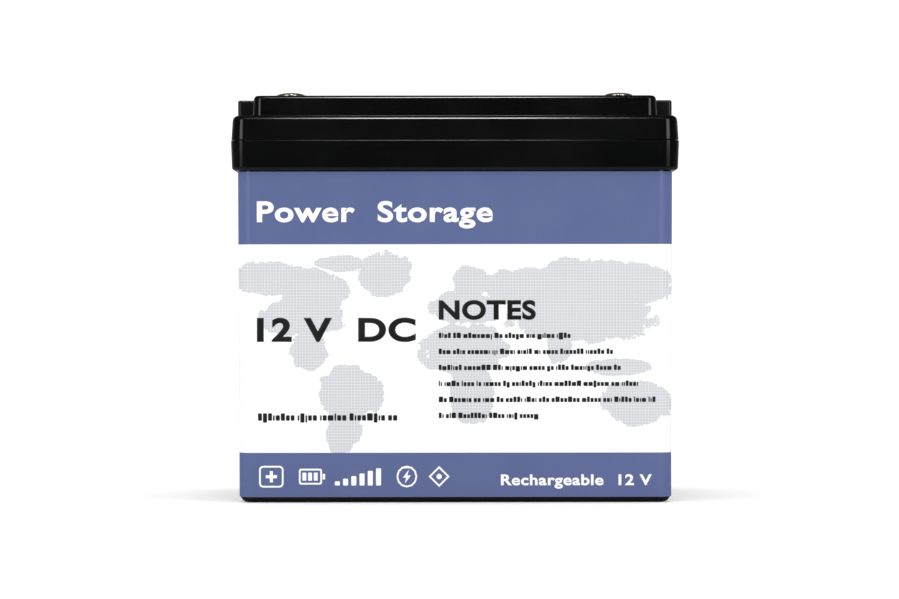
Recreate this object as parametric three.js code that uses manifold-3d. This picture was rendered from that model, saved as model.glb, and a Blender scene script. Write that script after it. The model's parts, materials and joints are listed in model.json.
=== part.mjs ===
// A 12 V deep cycle battery: four prismatic cells, a protection board and their wiring in a moulded
// case, under a lid with two screw terminals and two carry handles that fold flat.
// Millimetres, +Z up, front towards -Y. The origin is the middle of the case's underside.

import * as THREE from "three";
import { mergeVertices } from "three/addons/utils/BufferGeometryUtils.js";
import Module from "manifold-3d";

const wasm = await Module();
wasm.setup();

// ---------------------------------------------------------------- driving dimensions

const LENGTH = 229; // along X, over the collar
const DEPTH = 138; // along Y, over the collar
const HEIGHT = 208; // floor to the top of the deck
const DECK_RISE = 10.4;
const RIM_HEIGHT = 12.8;
const COLLAR_HEIGHT = 15.3;
const WALL = 3;
const DRAFT = 0.6; // how far each case wall leans in from the collar to the floor
const COLLAR_STEP = 3.8; // how far the collar stands out from the case wall
const CORNER_RADIUS = 7;
const BASE_FILLET = 2.8;
const GAP = 0.3; // between pieces that fit in each other
const OVERRUN = 1; // how far a cutting or joining body runs past the face that it meets

// Collar, and the lid's rim above it. Insets are measured in from the collar's face.
const COLLAR_RADIUS = 7.5;
const COLLAR_UNDERCUT = 0.5;
const COLLAR_FILLET = 1.8;
const COLLAR_CHAMFER = 0.6;
const RIM_INSET = 0.25;
const RIM_TOP_INSET = 0.85;
const RIM_FILLET = 3;

// Deck, the raised middle of the lid.
const DECK_LENGTH = LENGTH - 23;
const DECK_DEPTH = DEPTH - 14;
const DECK_RADIUS = 4.4;
const DECK_FILLET = 2;
const DECK_DRAFT = 0.5;

// Collar groove and the lid's tongue, measured in from the collar's face.
const GROOVE_INSET = 1.6;
const GROOVE_WIDTH = 2.6;
const GROOVE_DEPTH = 5;
const SEAL_THICK = 1.2;

// Label across the front wall, wrapped round both front corners.
const LABEL_THICK = 0.3;
const LABEL_LIFT = 0.15;
const LABEL_BASE = 2.9;
const LABEL_TOP_GAP = 0.6; // under the collar
const LABEL_WRAP = 12; // how far it reaches back from the front wall

// Handles: two arms and a grip bar, turning on trunnions in a notch at each end of the deck.
const NOTCH_X = 66; // the notch's inner wall
const NOTCH_HALF = 37.6;
const HANDLE_HALF = 37;
const HANDLE_THICK = 8.4;
const HANDLE_CLEARANCE = 1; // over the notch's floor
const HANDLE_REACH = 42.1; // pivot to the grip's outer face
const ARM_WIDTH = 6;
const GRIP_WIDTH = 12.5;
const GRIP_BEND = 2.5;
const GRIP_INNER_BEND = 3;
const PIVOT_X = 70.5;
const TRUNNION_RADIUS = 2.6;
const TRUNNION_LENGTH = 2.6;
const TRUNNION_ROOT = 1; // how far each trunnion runs into its arm
const TRUNNION_WALL = 5;

// Terminals: a brass insert in a boss, with an M6 screw and its washer.
const TERMINAL_X = 84.3;
const TERMINAL_Y = -49.6;
const WELL_RADIUS = 10.4;
const WELL_DEPTH = 1.6;
const RING_INNER = 8.9;
const RING_OUTER = 10.2;
const RING_THICK = 1.1;
const INSERT_RADIUS = 8.7;
const INSERT_FLANGE = 2.2;
const INSERT_SINK = 1.3; // below the deck
const INSERT_LENGTH = 13.5;
const INSERT_BARREL = 6;
const BOSS_RADIUS = 9.5;
const BOSS_LENGTH = 13; // below the deck
const SCREW_RADIUS = 3;
const SCREW_HOLE = 3.3;
const SCREW_LENGTH = 10;
const SCREW_HOLE_DEPTH = 10.2;
const WASHER_RADIUS = 7.5;
const WASHER_THICK = 0.8;
const SEAT_GAP = 0.05; // under the washer and under the screw's head
const HEAD_RADIUS = 7.25;
const HEAD_HEIGHT = 2.4;
const HEAD_RIM = 0.8;
const RECESS_LENGTH = 7;
const RECESS_WIDTH = 1.5;
const RECESS_DEPTH = 1.5;

// Cells: four of the 135 x 29 x 175 mm class, stacked from front to back.
const CELL_COUNT = 4;
const CELL_LENGTH = 135;
const CELL_THICK = 28.6;
const CELL_HEIGHT = 174.6;
const CELL_PITCH = 29.6;
const CELL_X = -35.5;
const CELL_BASE = 6.4;
const POST_X = 38; // from the cell's middle to each post
const POST_RADIUS = 7;
const POST_HEIGHT = 2.5;
const STUD_HEIGHT = 11;
const CAN_RADIUS = 3;
const VENT_RADIUS = 8;
const VENT_DEPTH = 0.6;
const BUSBAR_THICK = 2;
const BUSBAR_WIDTH = 20;
const NUT_HEIGHT = 4.6;
const NUT_FLATS = 10;
const NUT_FLANGE = 6.2;
const NUT_FLANGE_THICK = 1.2;
const SPACER_THICK = 0.6;
const END_BOARD_THICK = 1.2;
const BAND_HEIGHT = 16;
const BAND_THICK = 0.5;
const BAND_LOWER_Z = 50;
const BAND_UPPER_Z = 120;
const BAY_DEPTH = 114; // the length along Y of what fills the case from front to back
const BASE_PAD_THICK = 3;
const COVER_THICK = 0.6;

// Protection board and its bay, to the right of the cells.
const DIVIDER_X = 34.25;
const DIVIDER_THICK = 1.5;
const DIVIDER_BASE = 4;
const BOARD_X = 39.8;
const BOARD_THICK = 1.6;
const BOARD_WIDTH = 96;
const BOARD_BASE = 70;
const BOARD_HEIGHT = 90;
const PAD_Z = 153; // middle of the board's two cable pads
const PAD_SIZE = [7, 12, 10];
const PADS_Y = [-35, 0];
const SHUNT_Z = 138;
const SHUNT_SIZE = [2.6, 5, 6];
const SHUNTS_Y = [-20, -12, -4, 4, 12, 20];
const BANK_Z = 109; // middle of the transistors and of their heat sink
const BANK_STRIP = [0.8, 80, 34];
const TRANSISTOR_SIZE = [2, 8, 13];
const TRANSISTOR_PITCH = 10;
const TRANSISTOR_ROWS = [BANK_Z - 8, BANK_Z + 8];
const TRANSISTORS_PER_ROW = 8;
const SINK_PLATE = [3, 84, 44];
const FIN_SIZE = [9, 1.6, 44];
const FIN_PITCH = 6;
const FIN_COUNT = 14;
const PLUG = { y: 28, z: 152, thick: 5, width: 14, height: 8 };
const BAY_FOAM = { x: [60, 104], y: [-56, 56], z: [3.4, 160] };

// Wiring: cables crimped into ring lugs, and thin sense wires to the board's plug.
const CABLE_RADIUS = 2.75;
const WIRE_RADIUS = 0.7;
const LUG_EYE = 7;
const LUG_THICK = 2;
const LUG_BARREL = 3.6;
const LUG_BARREL_LENGTH = 9;
const LUG_SCREW_HOLE = 2.2;
const LUG_SCREW_RADIUS = 1.9;
const LUG_SCREW_REACH = 2.2; // into the insert
const LUG_SCREW_HEAD = 2.6;
const LUG_SCREW_HEAD_RADIUS = 4.2;

// Fineness of the curved surfaces.
const CORNER_STEPS = 4;
const FILLET_STEPS = 3;
const ROUND_STEPS = 24;
const SMALL_STEPS = 12;

// ---------------------------------------------------------------- levels that follow from them

const SHOULDER = HEIGHT - DECK_RISE;
const PARTING = SHOULDER - RIM_HEIGHT;
const COLLAR_BASE = PARTING - COLLAR_HEIGHT;
const GROOVE_FLOOR = PARTING - GROOVE_DEPTH;
const DECK_UNDERSIDE = HEIGHT - WALL;
const RIM_UNDERSIDE = SHOULDER - WALL;
const PIVOT_Z = SHOULDER + HANDLE_CLEARANCE + HANDLE_THICK / 2;

const INSERT_TOP = HEIGHT - INSERT_SINK;
const INSERT_BOTTOM = INSERT_TOP - INSERT_LENGTH;
const BOSS_BOTTOM = HEIGHT - BOSS_LENGTH;
const WASHER_Z = INSERT_TOP + SEAT_GAP;
const SCREW_Z = WASHER_Z + WASHER_THICK + SEAT_GAP;

const CELL_TOP = CELL_BASE + CELL_HEIGHT;
const CELL_MIDDLE = CELL_BASE + CELL_HEIGHT / 2;
const BUSBAR_Z = CELL_TOP + POST_HEIGHT + 0.2;
const NUT_Z = BUSBAR_Z + BUSBAR_THICK + 0.2;
const LUG_Z = INSERT_BOTTOM - 0.2 - LUG_THICK; // the lugs under the inserts

// ---------------------------------------------------------------- looks

const look = (color, roughness, metalness = 0) => ({ color, roughness, metalness });

const BLACK_SHELL = look(0x0c0e0d, 0.22);
const HANDLE_BLACK = look(0x101211, 0.4);
const LABEL_WHITE = look(0xf4f5f7, 0.35);
const BRASS = look(0xb08d45, 0.3, 1);
const GOLD_PLATE = look(0xc2a15c, 0.28, 1);
const RED_PLASTIC = look(0xa32020, 0.4);
const SEALANT = look(0x1a1a1a, 0.9);
const CELL_WRAP = look(0x2a62b8, 0.45);
const FIBRE_BOARD = look(0x9fae78, 0.6);
const FOAM = look(0x3a3b3d, 0.95);
const STEEL = look(0x9a9c9e, 0.35, 1);
const STRAP_WHITE = look(0xe6e2d6, 0.8);
const TINNED_COPPER = look(0xc9c6bc, 0.3, 1);
const CIRCUIT_GREEN = look(0x1f5a34, 0.5);
const ALUMINIUM = look(0xb4b7ba, 0.4, 1);
const CHIP_BLACK = look(0x1b1b1d, 0.5);
const PLUG_WHITE = look(0xe9e6da, 0.5);
const CABLE_RED = look(0xb3231e, 0.55);
const CABLE_BLACK = look(0x151515, 0.55);

// ---------------------------------------------------------------- solids

function toSolid(geometry) {
  const bare = geometry.clone();
  bare.deleteAttribute("normal");
  bare.deleteAttribute("uv");
  const merged = mergeVertices(bare, 1e-4);
  return new wasm.Manifold(
    new wasm.Mesh({
      numProp: 3,
      vertProperties: merged.attributes.position.array,
      triVerts: new Uint32Array(merged.index.array),
    }),
  );
}

function toGeometry(solid) {
  const mesh = solid.getMesh();
  const geometry = new THREE.BufferGeometry();
  geometry.setAttribute("position", new THREE.BufferAttribute(mesh.vertProperties, 3));
  geometry.setIndex(new THREE.BufferAttribute(mesh.triVerts, 1));
  geometry.computeVertexNormals();
  return geometry;
}

const union = (first, ...rest) => rest.reduce((sum, solid) => sum.add(solid), first);
const cut = (first, ...rest) => rest.reduce((left, solid) => left.subtract(solid), first);

// A box between two corners.
function box(low, high) {
  const size = low.map((value, axis) => high[axis] - value);
  const geometry = new THREE.BoxGeometry(...size);
  geometry.translate(...low.map((value, axis) => (value + high[axis]) / 2));
  return toSolid(geometry);
}

// A box about a middle point.
const block = ([x, y, z], [length, depth, height]) =>
  box(
    [x - length / 2, y - depth / 2, z - height / 2],
    [x + length / 2, y + depth / 2, z + height / 2],
  );

// An upright cylinder between two heights.
function cylinder(x, y, radius, bottom, top, steps = ROUND_STEPS) {
  const geometry = new THREE.CylinderGeometry(radius, radius, top - bottom, steps);
  geometry.rotateX(Math.PI / 2);
  geometry.translate(x, y, (bottom + top) / 2);
  return toSolid(geometry);
}

// A cylinder along Y about a middle point.
function crossCylinder([x, y, z], radius, length, steps = ROUND_STEPS) {
  const geometry = new THREE.CylinderGeometry(radius, radius, length, steps);
  return toSolid(geometry.translate(x, y, z));
}

// A body turned about Z from [radius, height] points that run from the bottom up.
function turned(profile, steps = ROUND_STEPS) {
  const points = profile.map(([radius, z]) => new THREE.Vector2(radius, z));
  return new THREE.LatheGeometry(points, steps).rotateX(Math.PI / 2);
}

// The points of a rounded rectangle, anticlockwise seen from above.
function roundedRectangle(length, depth, radius) {
  const points = [];
  for (let corner = 0; corner < 4; corner++) {
    const sideX = corner === 0 || corner === 3 ? 1 : -1;
    const sideY = corner < 2 ? 1 : -1;
    for (let step = 0; step <= CORNER_STEPS; step++) {
      const angle = ((corner + step / CORNER_STEPS) * Math.PI) / 2;
      const x = sideX * (length / 2 - radius) + radius * Math.cos(angle);
      const y = sideY * (depth / 2 - radius) + radius * Math.sin(angle);
      points.push(new THREE.Vector2(x, y));
    }
  }
  return points;
}

// A closed body through rounded rectangles, each { z, length, depth, radius }, from the bottom up.
function loft(levels) {
  const count = 4 * (CORNER_STEPS + 1);
  const positions = [];
  const index = [];
  for (const { z, length, depth, radius } of levels) {
    for (const point of roundedRectangle(length, depth, radius)) {
      positions.push(point.x, point.y, z);
    }
  }
  for (let level = 0; level + 1 < levels.length; level++) {
    for (let i = 0; i < count; i++) {
      const a = level * count + i;
      const b = level * count + ((i + 1) % count);
      index.push(a, b, b + count, a, b + count, a + count);
    }
  }
  const top = (levels.length - 1) * count;
  for (let i = 1; i + 1 < count; i++) {
    index.push(0, i + 1, i, top, top + i, top + i + 1);
  }
  const geometry = new THREE.BufferGeometry();
  geometry.setAttribute("position", new THREE.Float32BufferAttribute(positions, 3));
  geometry.setIndex(index);
  return toSolid(geometry);
}

// The same outline moved out by `grow` on every side, and to another height if one is given.
const grown = ({ z, length, depth, radius }, grow, height = z) => ({
  z: height,
  length: length + 2 * grow,
  depth: depth + 2 * grow,
  radius: radius + grow,
});

// The levels that round a loft's top edge, or its bottom edge where side is -1.
function roundedEdge(level, fillet, side = 1) {
  const levels = [];
  for (let step = 0; step <= FILLET_STEPS; step++) {
    const angle = ((step / FILLET_STEPS) * Math.PI) / 2;
    const inset = fillet * (1 - Math.cos(angle));
    levels.push(grown(level, -inset, level.z - side * fillet * (1 - Math.sin(angle))));
  }
  return side > 0 ? levels : levels.reverse();
}

// The upright ring between two outlines.
const ring = (outer, inner, bottom, top) =>
  cut(
    loft([{ ...outer, z: bottom }, { ...outer, z: top }]),
    loft([{ ...inner, z: bottom - OVERRUN }, { ...inner, z: top + OVERRUN }]),
  );

// A plate of an outline in X and Y, standing on a height.
function plate(shape, bottom, thickness) {
  const options = { depth: thickness, bevelEnabled: false, curveSegments: 6 };
  return toSolid(new THREE.ExtrudeGeometry(shape, options).translate(0, 0, bottom));
}

// A tube along a smooth curve through points.
function tube(points, radius, steps) {
  const section = new THREE.Shape().absarc(0, 0, radius, 0, 2 * Math.PI, false);
  const route = new THREE.CatmullRomCurve3(points.map((point) => new THREE.Vector3(...point)));
  const options = { steps, curveSegments: 4, extrudePath: route, bevelEnabled: false };
  return new THREE.ExtrudeGeometry(section, options);
}

// ---------------------------------------------------------------- case, lid, seal and label

// The case wall's outline at a height.
function wallLevel(z) {
  const lean = DRAFT * (1 - z / COLLAR_BASE);
  return {
    z,
    length: LENGTH - 2 * (COLLAR_STEP + lean),
    depth: DEPTH - 2 * (COLLAR_STEP + lean),
    radius: CORNER_RADIUS,
  };
}

const COLLAR = { z: PARTING, length: LENGTH, depth: DEPTH, radius: COLLAR_RADIUS };
const GROOVE_OUTER = grown(COLLAR, -GROOVE_INSET);
const GROOVE_INNER = grown(GROOVE_OUTER, -GROOVE_WIDTH);

function caseShell() {
  const outside = loft([
    ...roundedEdge(wallLevel(0), BASE_FILLET, -1),
    wallLevel(COLLAR_BASE),
    ...roundedEdge(grown(COLLAR, -COLLAR_UNDERCUT, COLLAR_BASE), COLLAR_FILLET, -1),
    grown(COLLAR, 0, PARTING - COLLAR_CHAMFER),
    grown(COLLAR, -COLLAR_CHAMFER),
  ]);
  const inside = loft([
    grown(wallLevel(WALL), -WALL),
    grown(wallLevel(COLLAR_BASE), -WALL),
    grown(wallLevel(COLLAR_BASE), -WALL, PARTING + OVERRUN),
  ]);
  const groove = ring(GROOVE_OUTER, GROOVE_INNER, GROOVE_FLOOR, PARTING + OVERRUN);
  return cut(outside, inside, groove);
}

// Sealant along the bottom of the groove.
function lidSeal() {
  const bottom = GROOVE_FLOOR + 0.1;
  return ring(grown(GROOVE_OUTER, -0.2), grown(GROOVE_INNER, 0.2), bottom, bottom + SEAL_THICK);
}

// The space that a handle folds into, at the end given by 1 or -1, grown by the lid's walls.
function notch(side, endGrow, sideGrow, bottom, top) {
  const inner = NOTCH_X - endGrow;
  const outer = LENGTH / 2 + 5;
  const half = NOTCH_HALF + sideGrow;
  const [left, right] = side > 0 ? [inner, outer] : [-outer, -inner];
  return box([left, -half, bottom], [right, half, top]);
}

function lid() {
  const rimTop = grown(COLLAR, -RIM_TOP_INSET, SHOULDER);
  const rimBase = grown(COLLAR, -RIM_INSET, PARTING + GAP);
  const rim = loft([rimBase, ...roundedEdge(rimTop, RIM_FILLET)]);
  const deckTop = { z: HEIGHT, length: DECK_LENGTH, depth: DECK_DEPTH, radius: DECK_RADIUS };
  const deckFoot = grown(deckTop, DECK_DRAFT, SHOULDER - OVERRUN);
  const deck = loft([deckFoot, ...roundedEdge(deckTop, DECK_FILLET)]);
  const tongueOuter = grown(GROOVE_OUTER, -GAP);
  const tongueInner = grown(GROOVE_INNER, GAP);
  const tongueEnd = GROOVE_FLOOR + SEAL_THICK + GAP;
  const tongue = ring(tongueOuter, tongueInner, tongueEnd, PARTING + OVERRUN);
  const rimHollow = loft([
    { ...tongueInner, z: GROOVE_FLOOR },
    { ...tongueInner, z: RIM_UNDERSIDE },
  ]);
  let deckHollow = loft([
    grown(deckTop, -WALL, RIM_UNDERSIDE - OVERRUN),
    grown(deckTop, -WALL, DECK_UNDERSIDE),
  ]);
  for (const side of [-1, 1]) {
    const pocketWalls = notch(side, WALL, TRUNNION_WALL, RIM_UNDERSIDE - 2 * OVERRUN, HEIGHT);
    deckHollow = cut(deckHollow, pocketWalls);
  }
  let body = cut(union(rim, deck, tongue), rimHollow, deckHollow);
  for (const side of [-1, 1]) {
    const terminal = [side * TERMINAL_X, TERMINAL_Y];
    const pivot = [side * PIVOT_X, 0, PIVOT_Z];
    const trunnionSpan = 2 * (NOTCH_HALF + TRUNNION_LENGTH + 0.4);
    body = cut(
      union(body, cylinder(...terminal, BOSS_RADIUS, BOSS_BOTTOM, DECK_UNDERSIDE + OVERRUN)),
      notch(side, 0, 0, SHOULDER, HEIGHT + OVERRUN),
      cylinder(...terminal, WELL_RADIUS, HEIGHT - WELL_DEPTH, HEIGHT + OVERRUN),
      cylinder(...terminal, INSERT_RADIUS + GAP / 2, INSERT_TOP - INSERT_FLANGE - 0.2, HEIGHT),
      cylinder(...terminal, INSERT_BARREL + GAP, BOSS_BOTTOM - OVERRUN, HEIGHT),
      crossCylinder(pivot, TRUNNION_RADIUS + GAP, trunnionSpan),
    );
  }
  return body;
}

function frontLabel() {
  const bottom = wallLevel(LABEL_BASE);
  const top = wallLevel(COLLAR_BASE - LABEL_TOP_GAP);
  const outer = LABEL_LIFT + LABEL_THICK;
  const sheet = cut(
    loft([grown(bottom, outer), grown(top, outer)]),
    loft([
      grown(bottom, LABEL_LIFT, bottom.z - OVERRUN),
      grown(top, LABEL_LIFT, top.z + OVERRUN),
    ]),
  );
  const back = -wallLevel(COLLAR_BASE).depth / 2 + LABEL_WRAP;
  return cut(sheet, box([-LENGTH, back, -OVERRUN], [LENGTH, LENGTH, HEIGHT]));
}

// ---------------------------------------------------------------- handles and terminals

// A handle folded flat, with its pivot at the origin and its grip towards +X.
function handle() {
  const half = HANDLE_HALF;
  const inner = half - ARM_WIDTH;
  const bendX = HANDLE_REACH - GRIP_BEND;
  const innerBendX = HANDLE_REACH - GRIP_WIDTH - GRIP_INNER_BEND;
  const quarter = Math.PI / 2;
  const outline = new THREE.Shape();
  outline.moveTo(0, -half);
  outline.absarc(bendX, -half + GRIP_BEND, GRIP_BEND, -quarter, 0, false);
  outline.absarc(bendX, half - GRIP_BEND, GRIP_BEND, 0, quarter, false);
  outline.lineTo(0, half);
  outline.lineTo(0, inner);
  outline.absarc(innerBendX, inner - GRIP_INNER_BEND, GRIP_INNER_BEND, quarter, 0, true);
  outline.absarc(innerBendX, -inner + GRIP_INNER_BEND, GRIP_INNER_BEND, 0, -quarter, true);
  outline.lineTo(0, -inner);
  let body = plate(outline, -HANDLE_THICK / 2, HANDLE_THICK);
  const pinLength = TRUNNION_LENGTH + TRUNNION_ROOT;
  for (const side of [-1, 1]) {
    const armMiddle = [0, side * (half - ARM_WIDTH / 2), 0];
    const pinMiddle = [0, side * (half + TRUNNION_LENGTH - pinLength / 2), 0];
    body = union(
      body,
      crossCylinder(armMiddle, HANDLE_THICK / 2, ARM_WIDTH, SMALL_STEPS),
      crossCylinder(pinMiddle, TRUNNION_RADIUS, pinLength, SMALL_STEPS),
    );
  }
  return body;
}

// A brass insert: a threaded hole above for the terminal screw, and one below for the lug's screw.
function terminalInsert() {
  const lugHoleEnd = INSERT_BOTTOM + LUG_SCREW_REACH + 0.4;
  return turned([
    [0, lugHoleEnd],
    [LUG_SCREW_HOLE, lugHoleEnd],
    [LUG_SCREW_HOLE, INSERT_BOTTOM],
    [INSERT_BARREL, INSERT_BOTTOM],
    [INSERT_BARREL, INSERT_TOP - INSERT_FLANGE],
    [INSERT_RADIUS, INSERT_TOP - INSERT_FLANGE],
    [INSERT_RADIUS, INSERT_TOP],
    [WASHER_RADIUS + 0.1, INSERT_TOP],
    [SCREW_HOLE, INSERT_TOP],
    [SCREW_HOLE, INSERT_TOP - SCREW_HOLE_DEPTH],
    [0, INSERT_TOP - SCREW_HOLE_DEPTH],
  ]);
}

const flatRing = (inner, outer, thickness) =>
  turned([
    [inner, 0],
    [outer, 0],
    [outer, thickness],
    [inner, thickness],
    [inner, 0],
  ]);

// A screw with a low domed head and a cross recess. Its seat is at height 0.
function terminalScrew() {
  const domeSteps = 4;
  const profile = [
    [0, -SCREW_LENGTH],
    [SCREW_RADIUS - 0.6, -SCREW_LENGTH],
    [SCREW_RADIUS, -SCREW_LENGTH + 0.8],
    [SCREW_RADIUS, 0],
    [HEAD_RADIUS, 0],
  ];
  for (let step = 0; step < domeSteps; step++) {
    const angle = ((step / domeSteps) * Math.PI) / 2;
    const z = HEAD_RIM + (HEAD_HEIGHT - HEAD_RIM) * Math.sin(angle);
    profile.push([HEAD_RADIUS * Math.cos(angle), z]);
  }
  profile.push([0, HEAD_HEIGHT]);
  const recessHeight = RECESS_DEPTH + OVERRUN;
  const middle = [0, 0, HEAD_HEIGHT + OVERRUN - recessHeight / 2];
  return cut(
    toSolid(turned(profile)),
    block(middle, [RECESS_LENGTH, RECESS_WIDTH, recessHeight]),
    block(middle, [RECESS_WIDTH, RECESS_LENGTH, recessHeight]),
  );
}

// ---------------------------------------------------------------- cell stack

// A cell standing on height 0: a can with two posts, their studs and a round vent between them.
function cell() {
  const can = { z: 0, length: CELL_LENGTH, depth: CELL_THICK, radius: CAN_RADIUS };
  let body = loft([can, { ...can, z: CELL_HEIGHT }]);
  for (const x of [-POST_X, POST_X]) {
    body = union(
      body,
      cylinder(x, 0, POST_RADIUS, CELL_HEIGHT - OVERRUN, CELL_HEIGHT + POST_HEIGHT, SMALL_STEPS),
      cylinder(x, 0, SCREW_RADIUS, CELL_HEIGHT, CELL_HEIGHT + STUD_HEIGHT, SMALL_STEPS),
    );
  }
  const ventFloor = CELL_HEIGHT - VENT_DEPTH;
  return cut(body, cylinder(0, 0, VENT_RADIUS, ventFloor, CELL_HEIGHT + OVERRUN, SMALL_STEPS));
}

// A strap with round ends and a hole over each of two posts.
function busbar() {
  const half = CELL_PITCH / 2;
  const outline = new THREE.Shape();
  outline.absarc(0, half, BUSBAR_WIDTH / 2, 0, Math.PI, false);
  outline.absarc(0, -half, BUSBAR_WIDTH / 2, Math.PI, 2 * Math.PI, false);
  for (const y of [-half, half]) {
    outline.holes.push(new THREE.Path().absarc(0, y, SCREW_HOLE, 0, 2 * Math.PI, false));
  }
  return plate(outline, 0, BUSBAR_THICK);
}

// A hexagonal nut with a flange, standing on height 0.
function flangeNut() {
  const corners = NUT_FLATS / 2 / Math.cos(Math.PI / 6);
  return cut(
    union(
      cylinder(0, 0, corners, NUT_FLANGE_THICK / 2, NUT_HEIGHT, 6),
      cylinder(0, 0, NUT_FLANGE, 0, NUT_FLANGE_THICK, SMALL_STEPS),
    ),
    cylinder(0, 0, SCREW_HOLE, -OVERRUN, NUT_HEIGHT + OVERRUN, SMALL_STEPS),
  );
}

// A strap round the stack, standing on height 0.
function stackBand() {
  const stackDepth = CELL_PITCH * (CELL_COUNT - 1) + CELL_THICK + 2 * END_BOARD_THICK;
  const inner = { length: CELL_LENGTH + 2 * GAP, depth: stackDepth + 1.2, radius: CAN_RADIUS };
  return ring(grown(inner, BAND_THICK), inner, 0, BAND_HEIGHT);
}

// ---------------------------------------------------------------- wiring

// A ring lug: an eye round the origin on height 0, and a hollow crimp barrel towards +X.
function ringLug(hole, barrelZ) {
  const start = LUG_EYE + 2;
  const end = start + LUG_BARREL_LENGTH;
  const alongX = (radius, from, to) =>
    toSolid(
      new THREE.CylinderGeometry(radius, radius, to - from, SMALL_STEPS)
        .rotateZ(Math.PI / 2)
        .translate((from + to) / 2, 0, barrelZ),
    );
  return cut(
    union(
      cylinder(0, 0, LUG_EYE, 0, LUG_THICK, SMALL_STEPS),
      box([0, -LUG_BARREL, 0], [start + OVERRUN, LUG_BARREL, LUG_THICK]),
      alongX(LUG_BARREL, start, end),
    ),
    cylinder(0, 0, hole, -OVERRUN, LUG_THICK + OVERRUN, SMALL_STEPS),
    alongX(CABLE_RADIUS + GAP, start + 2, end + OVERRUN),
  );
}

// The screw that holds a lug to an insert from below. Its seat is at height 0.
function lugScrew() {
  const end = LUG_THICK + GAP + LUG_SCREW_REACH;
  return union(
    cylinder(0, 0, LUG_SCREW_HEAD_RADIUS, -LUG_SCREW_HEAD, 0, SMALL_STEPS),
    cylinder(0, 0, LUG_SCREW_RADIUS, -LUG_SCREW_HEAD / 2, end, SMALL_STEPS),
  );
}

// ---------------------------------------------------------------- protection board

const BOARD_FACE = BOARD_X + BOARD_THICK / 2;

function circuitBoard() {
  const boardMiddle = BOARD_BASE + BOARD_HEIGHT / 2;
  const sheet = block([BOARD_X, 0, boardMiddle], [BOARD_THICK, BOARD_WIDTH, BOARD_HEIGHT]);
  const pads = PADS_Y.map((y) => block([BOARD_FACE + 3, y, PAD_Z], PAD_SIZE));
  const shunts = SHUNTS_Y.map((y) => block([BOARD_FACE + 1, y, SHUNT_Z], SHUNT_SIZE));
  return union(sheet, ...pads, ...shunts);
}

// Two rows of power transistors on one copper strip.
function transistorBank() {
  const strip = block([BOARD_FACE + 0.7, 0, BANK_Z], BANK_STRIP);
  const packages = [];
  for (let number = 0; number < TRANSISTORS_PER_ROW; number++) {
    const y = (number - (TRANSISTORS_PER_ROW - 1) / 2) * TRANSISTOR_PITCH;
    for (const z of TRANSISTOR_ROWS) {
      packages.push(block([BOARD_FACE + 1.9, y, z], TRANSISTOR_SIZE));
    }
  }
  return union(strip, ...packages);
}

function heatSink() {
  const base = BOARD_FACE + 4.6;
  const fins = [];
  for (let number = 0; number < FIN_COUNT; number++) {
    const y = (number - (FIN_COUNT - 1) / 2) * FIN_PITCH;
    fins.push(block([base + 5, y, BANK_Z], FIN_SIZE));
  }
  return union(block([base, 0, BANK_Z], SINK_PLATE), ...fins);
}

// ---------------------------------------------------------------- assembly

const battery = new THREE.Group();

function addGroup(parent, x = 0, y = 0, z = 0) {
  const group = new THREE.Group();
  group.position.set(x, y, z);
  parent.add(group);
  return group;
}

function add(parent, name, shape, finish, [x, y, z] = [0, 0, 0], turn = 0) {
  const geometry = shape.isBufferGeometry ? shape : toGeometry(shape);
  const mesh = new THREE.Mesh(geometry, new THREE.MeshStandardMaterial(finish));
  mesh.name = name;
  mesh.position.set(x, y, z);
  mesh.rotation.z = turn;
  parent.add(mesh);
}

add(battery, "case_shell", caseShell(), BLACK_SHELL);
add(battery, "lid", lid(), BLACK_SHELL);
add(battery, "lid_seal", lidSeal(), SEALANT);
add(battery, "front_label", frontLabel(), LABEL_WHITE);
add(battery, "handle_right", handle(), HANDLE_BLACK, [PIVOT_X, 0, PIVOT_Z]);
add(battery, "handle_left", handle(), HANDLE_BLACK, [-PIVOT_X, 0, PIVOT_Z], Math.PI);

// The two terminals. The lug under each one points at the cable that comes to it.
const TERMINALS = [
  { pole: "positive", x: -TERMINAL_X, ringColour: RED_PLASTIC, lugTurn: Math.PI / 2 },
  { pole: "negative", x: TERMINAL_X, ringColour: HANDLE_BLACK, lugTurn: Math.PI },
];
const ringShape = flatRing(RING_INNER, RING_OUTER, RING_THICK);
const washerShape = flatRing(SCREW_HOLE, WASHER_RADIUS, WASHER_THICK);
for (const { pole, x, ringColour, lugTurn } of TERMINALS) {
  const terminal = addGroup(battery, x, TERMINAL_Y);
  const lugShape = ringLug(LUG_SCREW_HOLE, LUG_THICK - LUG_BARREL);
  add(terminal, `terminal_insert_${pole}`, terminalInsert(), BRASS);
  add(terminal, `polarity_ring_${pole}`, ringShape, ringColour, [0, 0, HEIGHT - WELL_DEPTH + 0.1]);
  add(terminal, `terminal_washer_${pole}`, washerShape, GOLD_PLATE, [0, 0, WASHER_Z]);
  add(terminal, `terminal_screw_${pole}`, terminalScrew(), GOLD_PLATE, [0, 0, SCREW_Z]);
  add(terminal, `terminal_lug_${pole}`, lugShape, TINNED_COPPER, [0, 0, LUG_Z], lugTurn);
  add(terminal, `lug_screw_${pole}`, lugScrew(), STEEL, [0, 0, LUG_Z - 0.1]);
}

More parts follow.
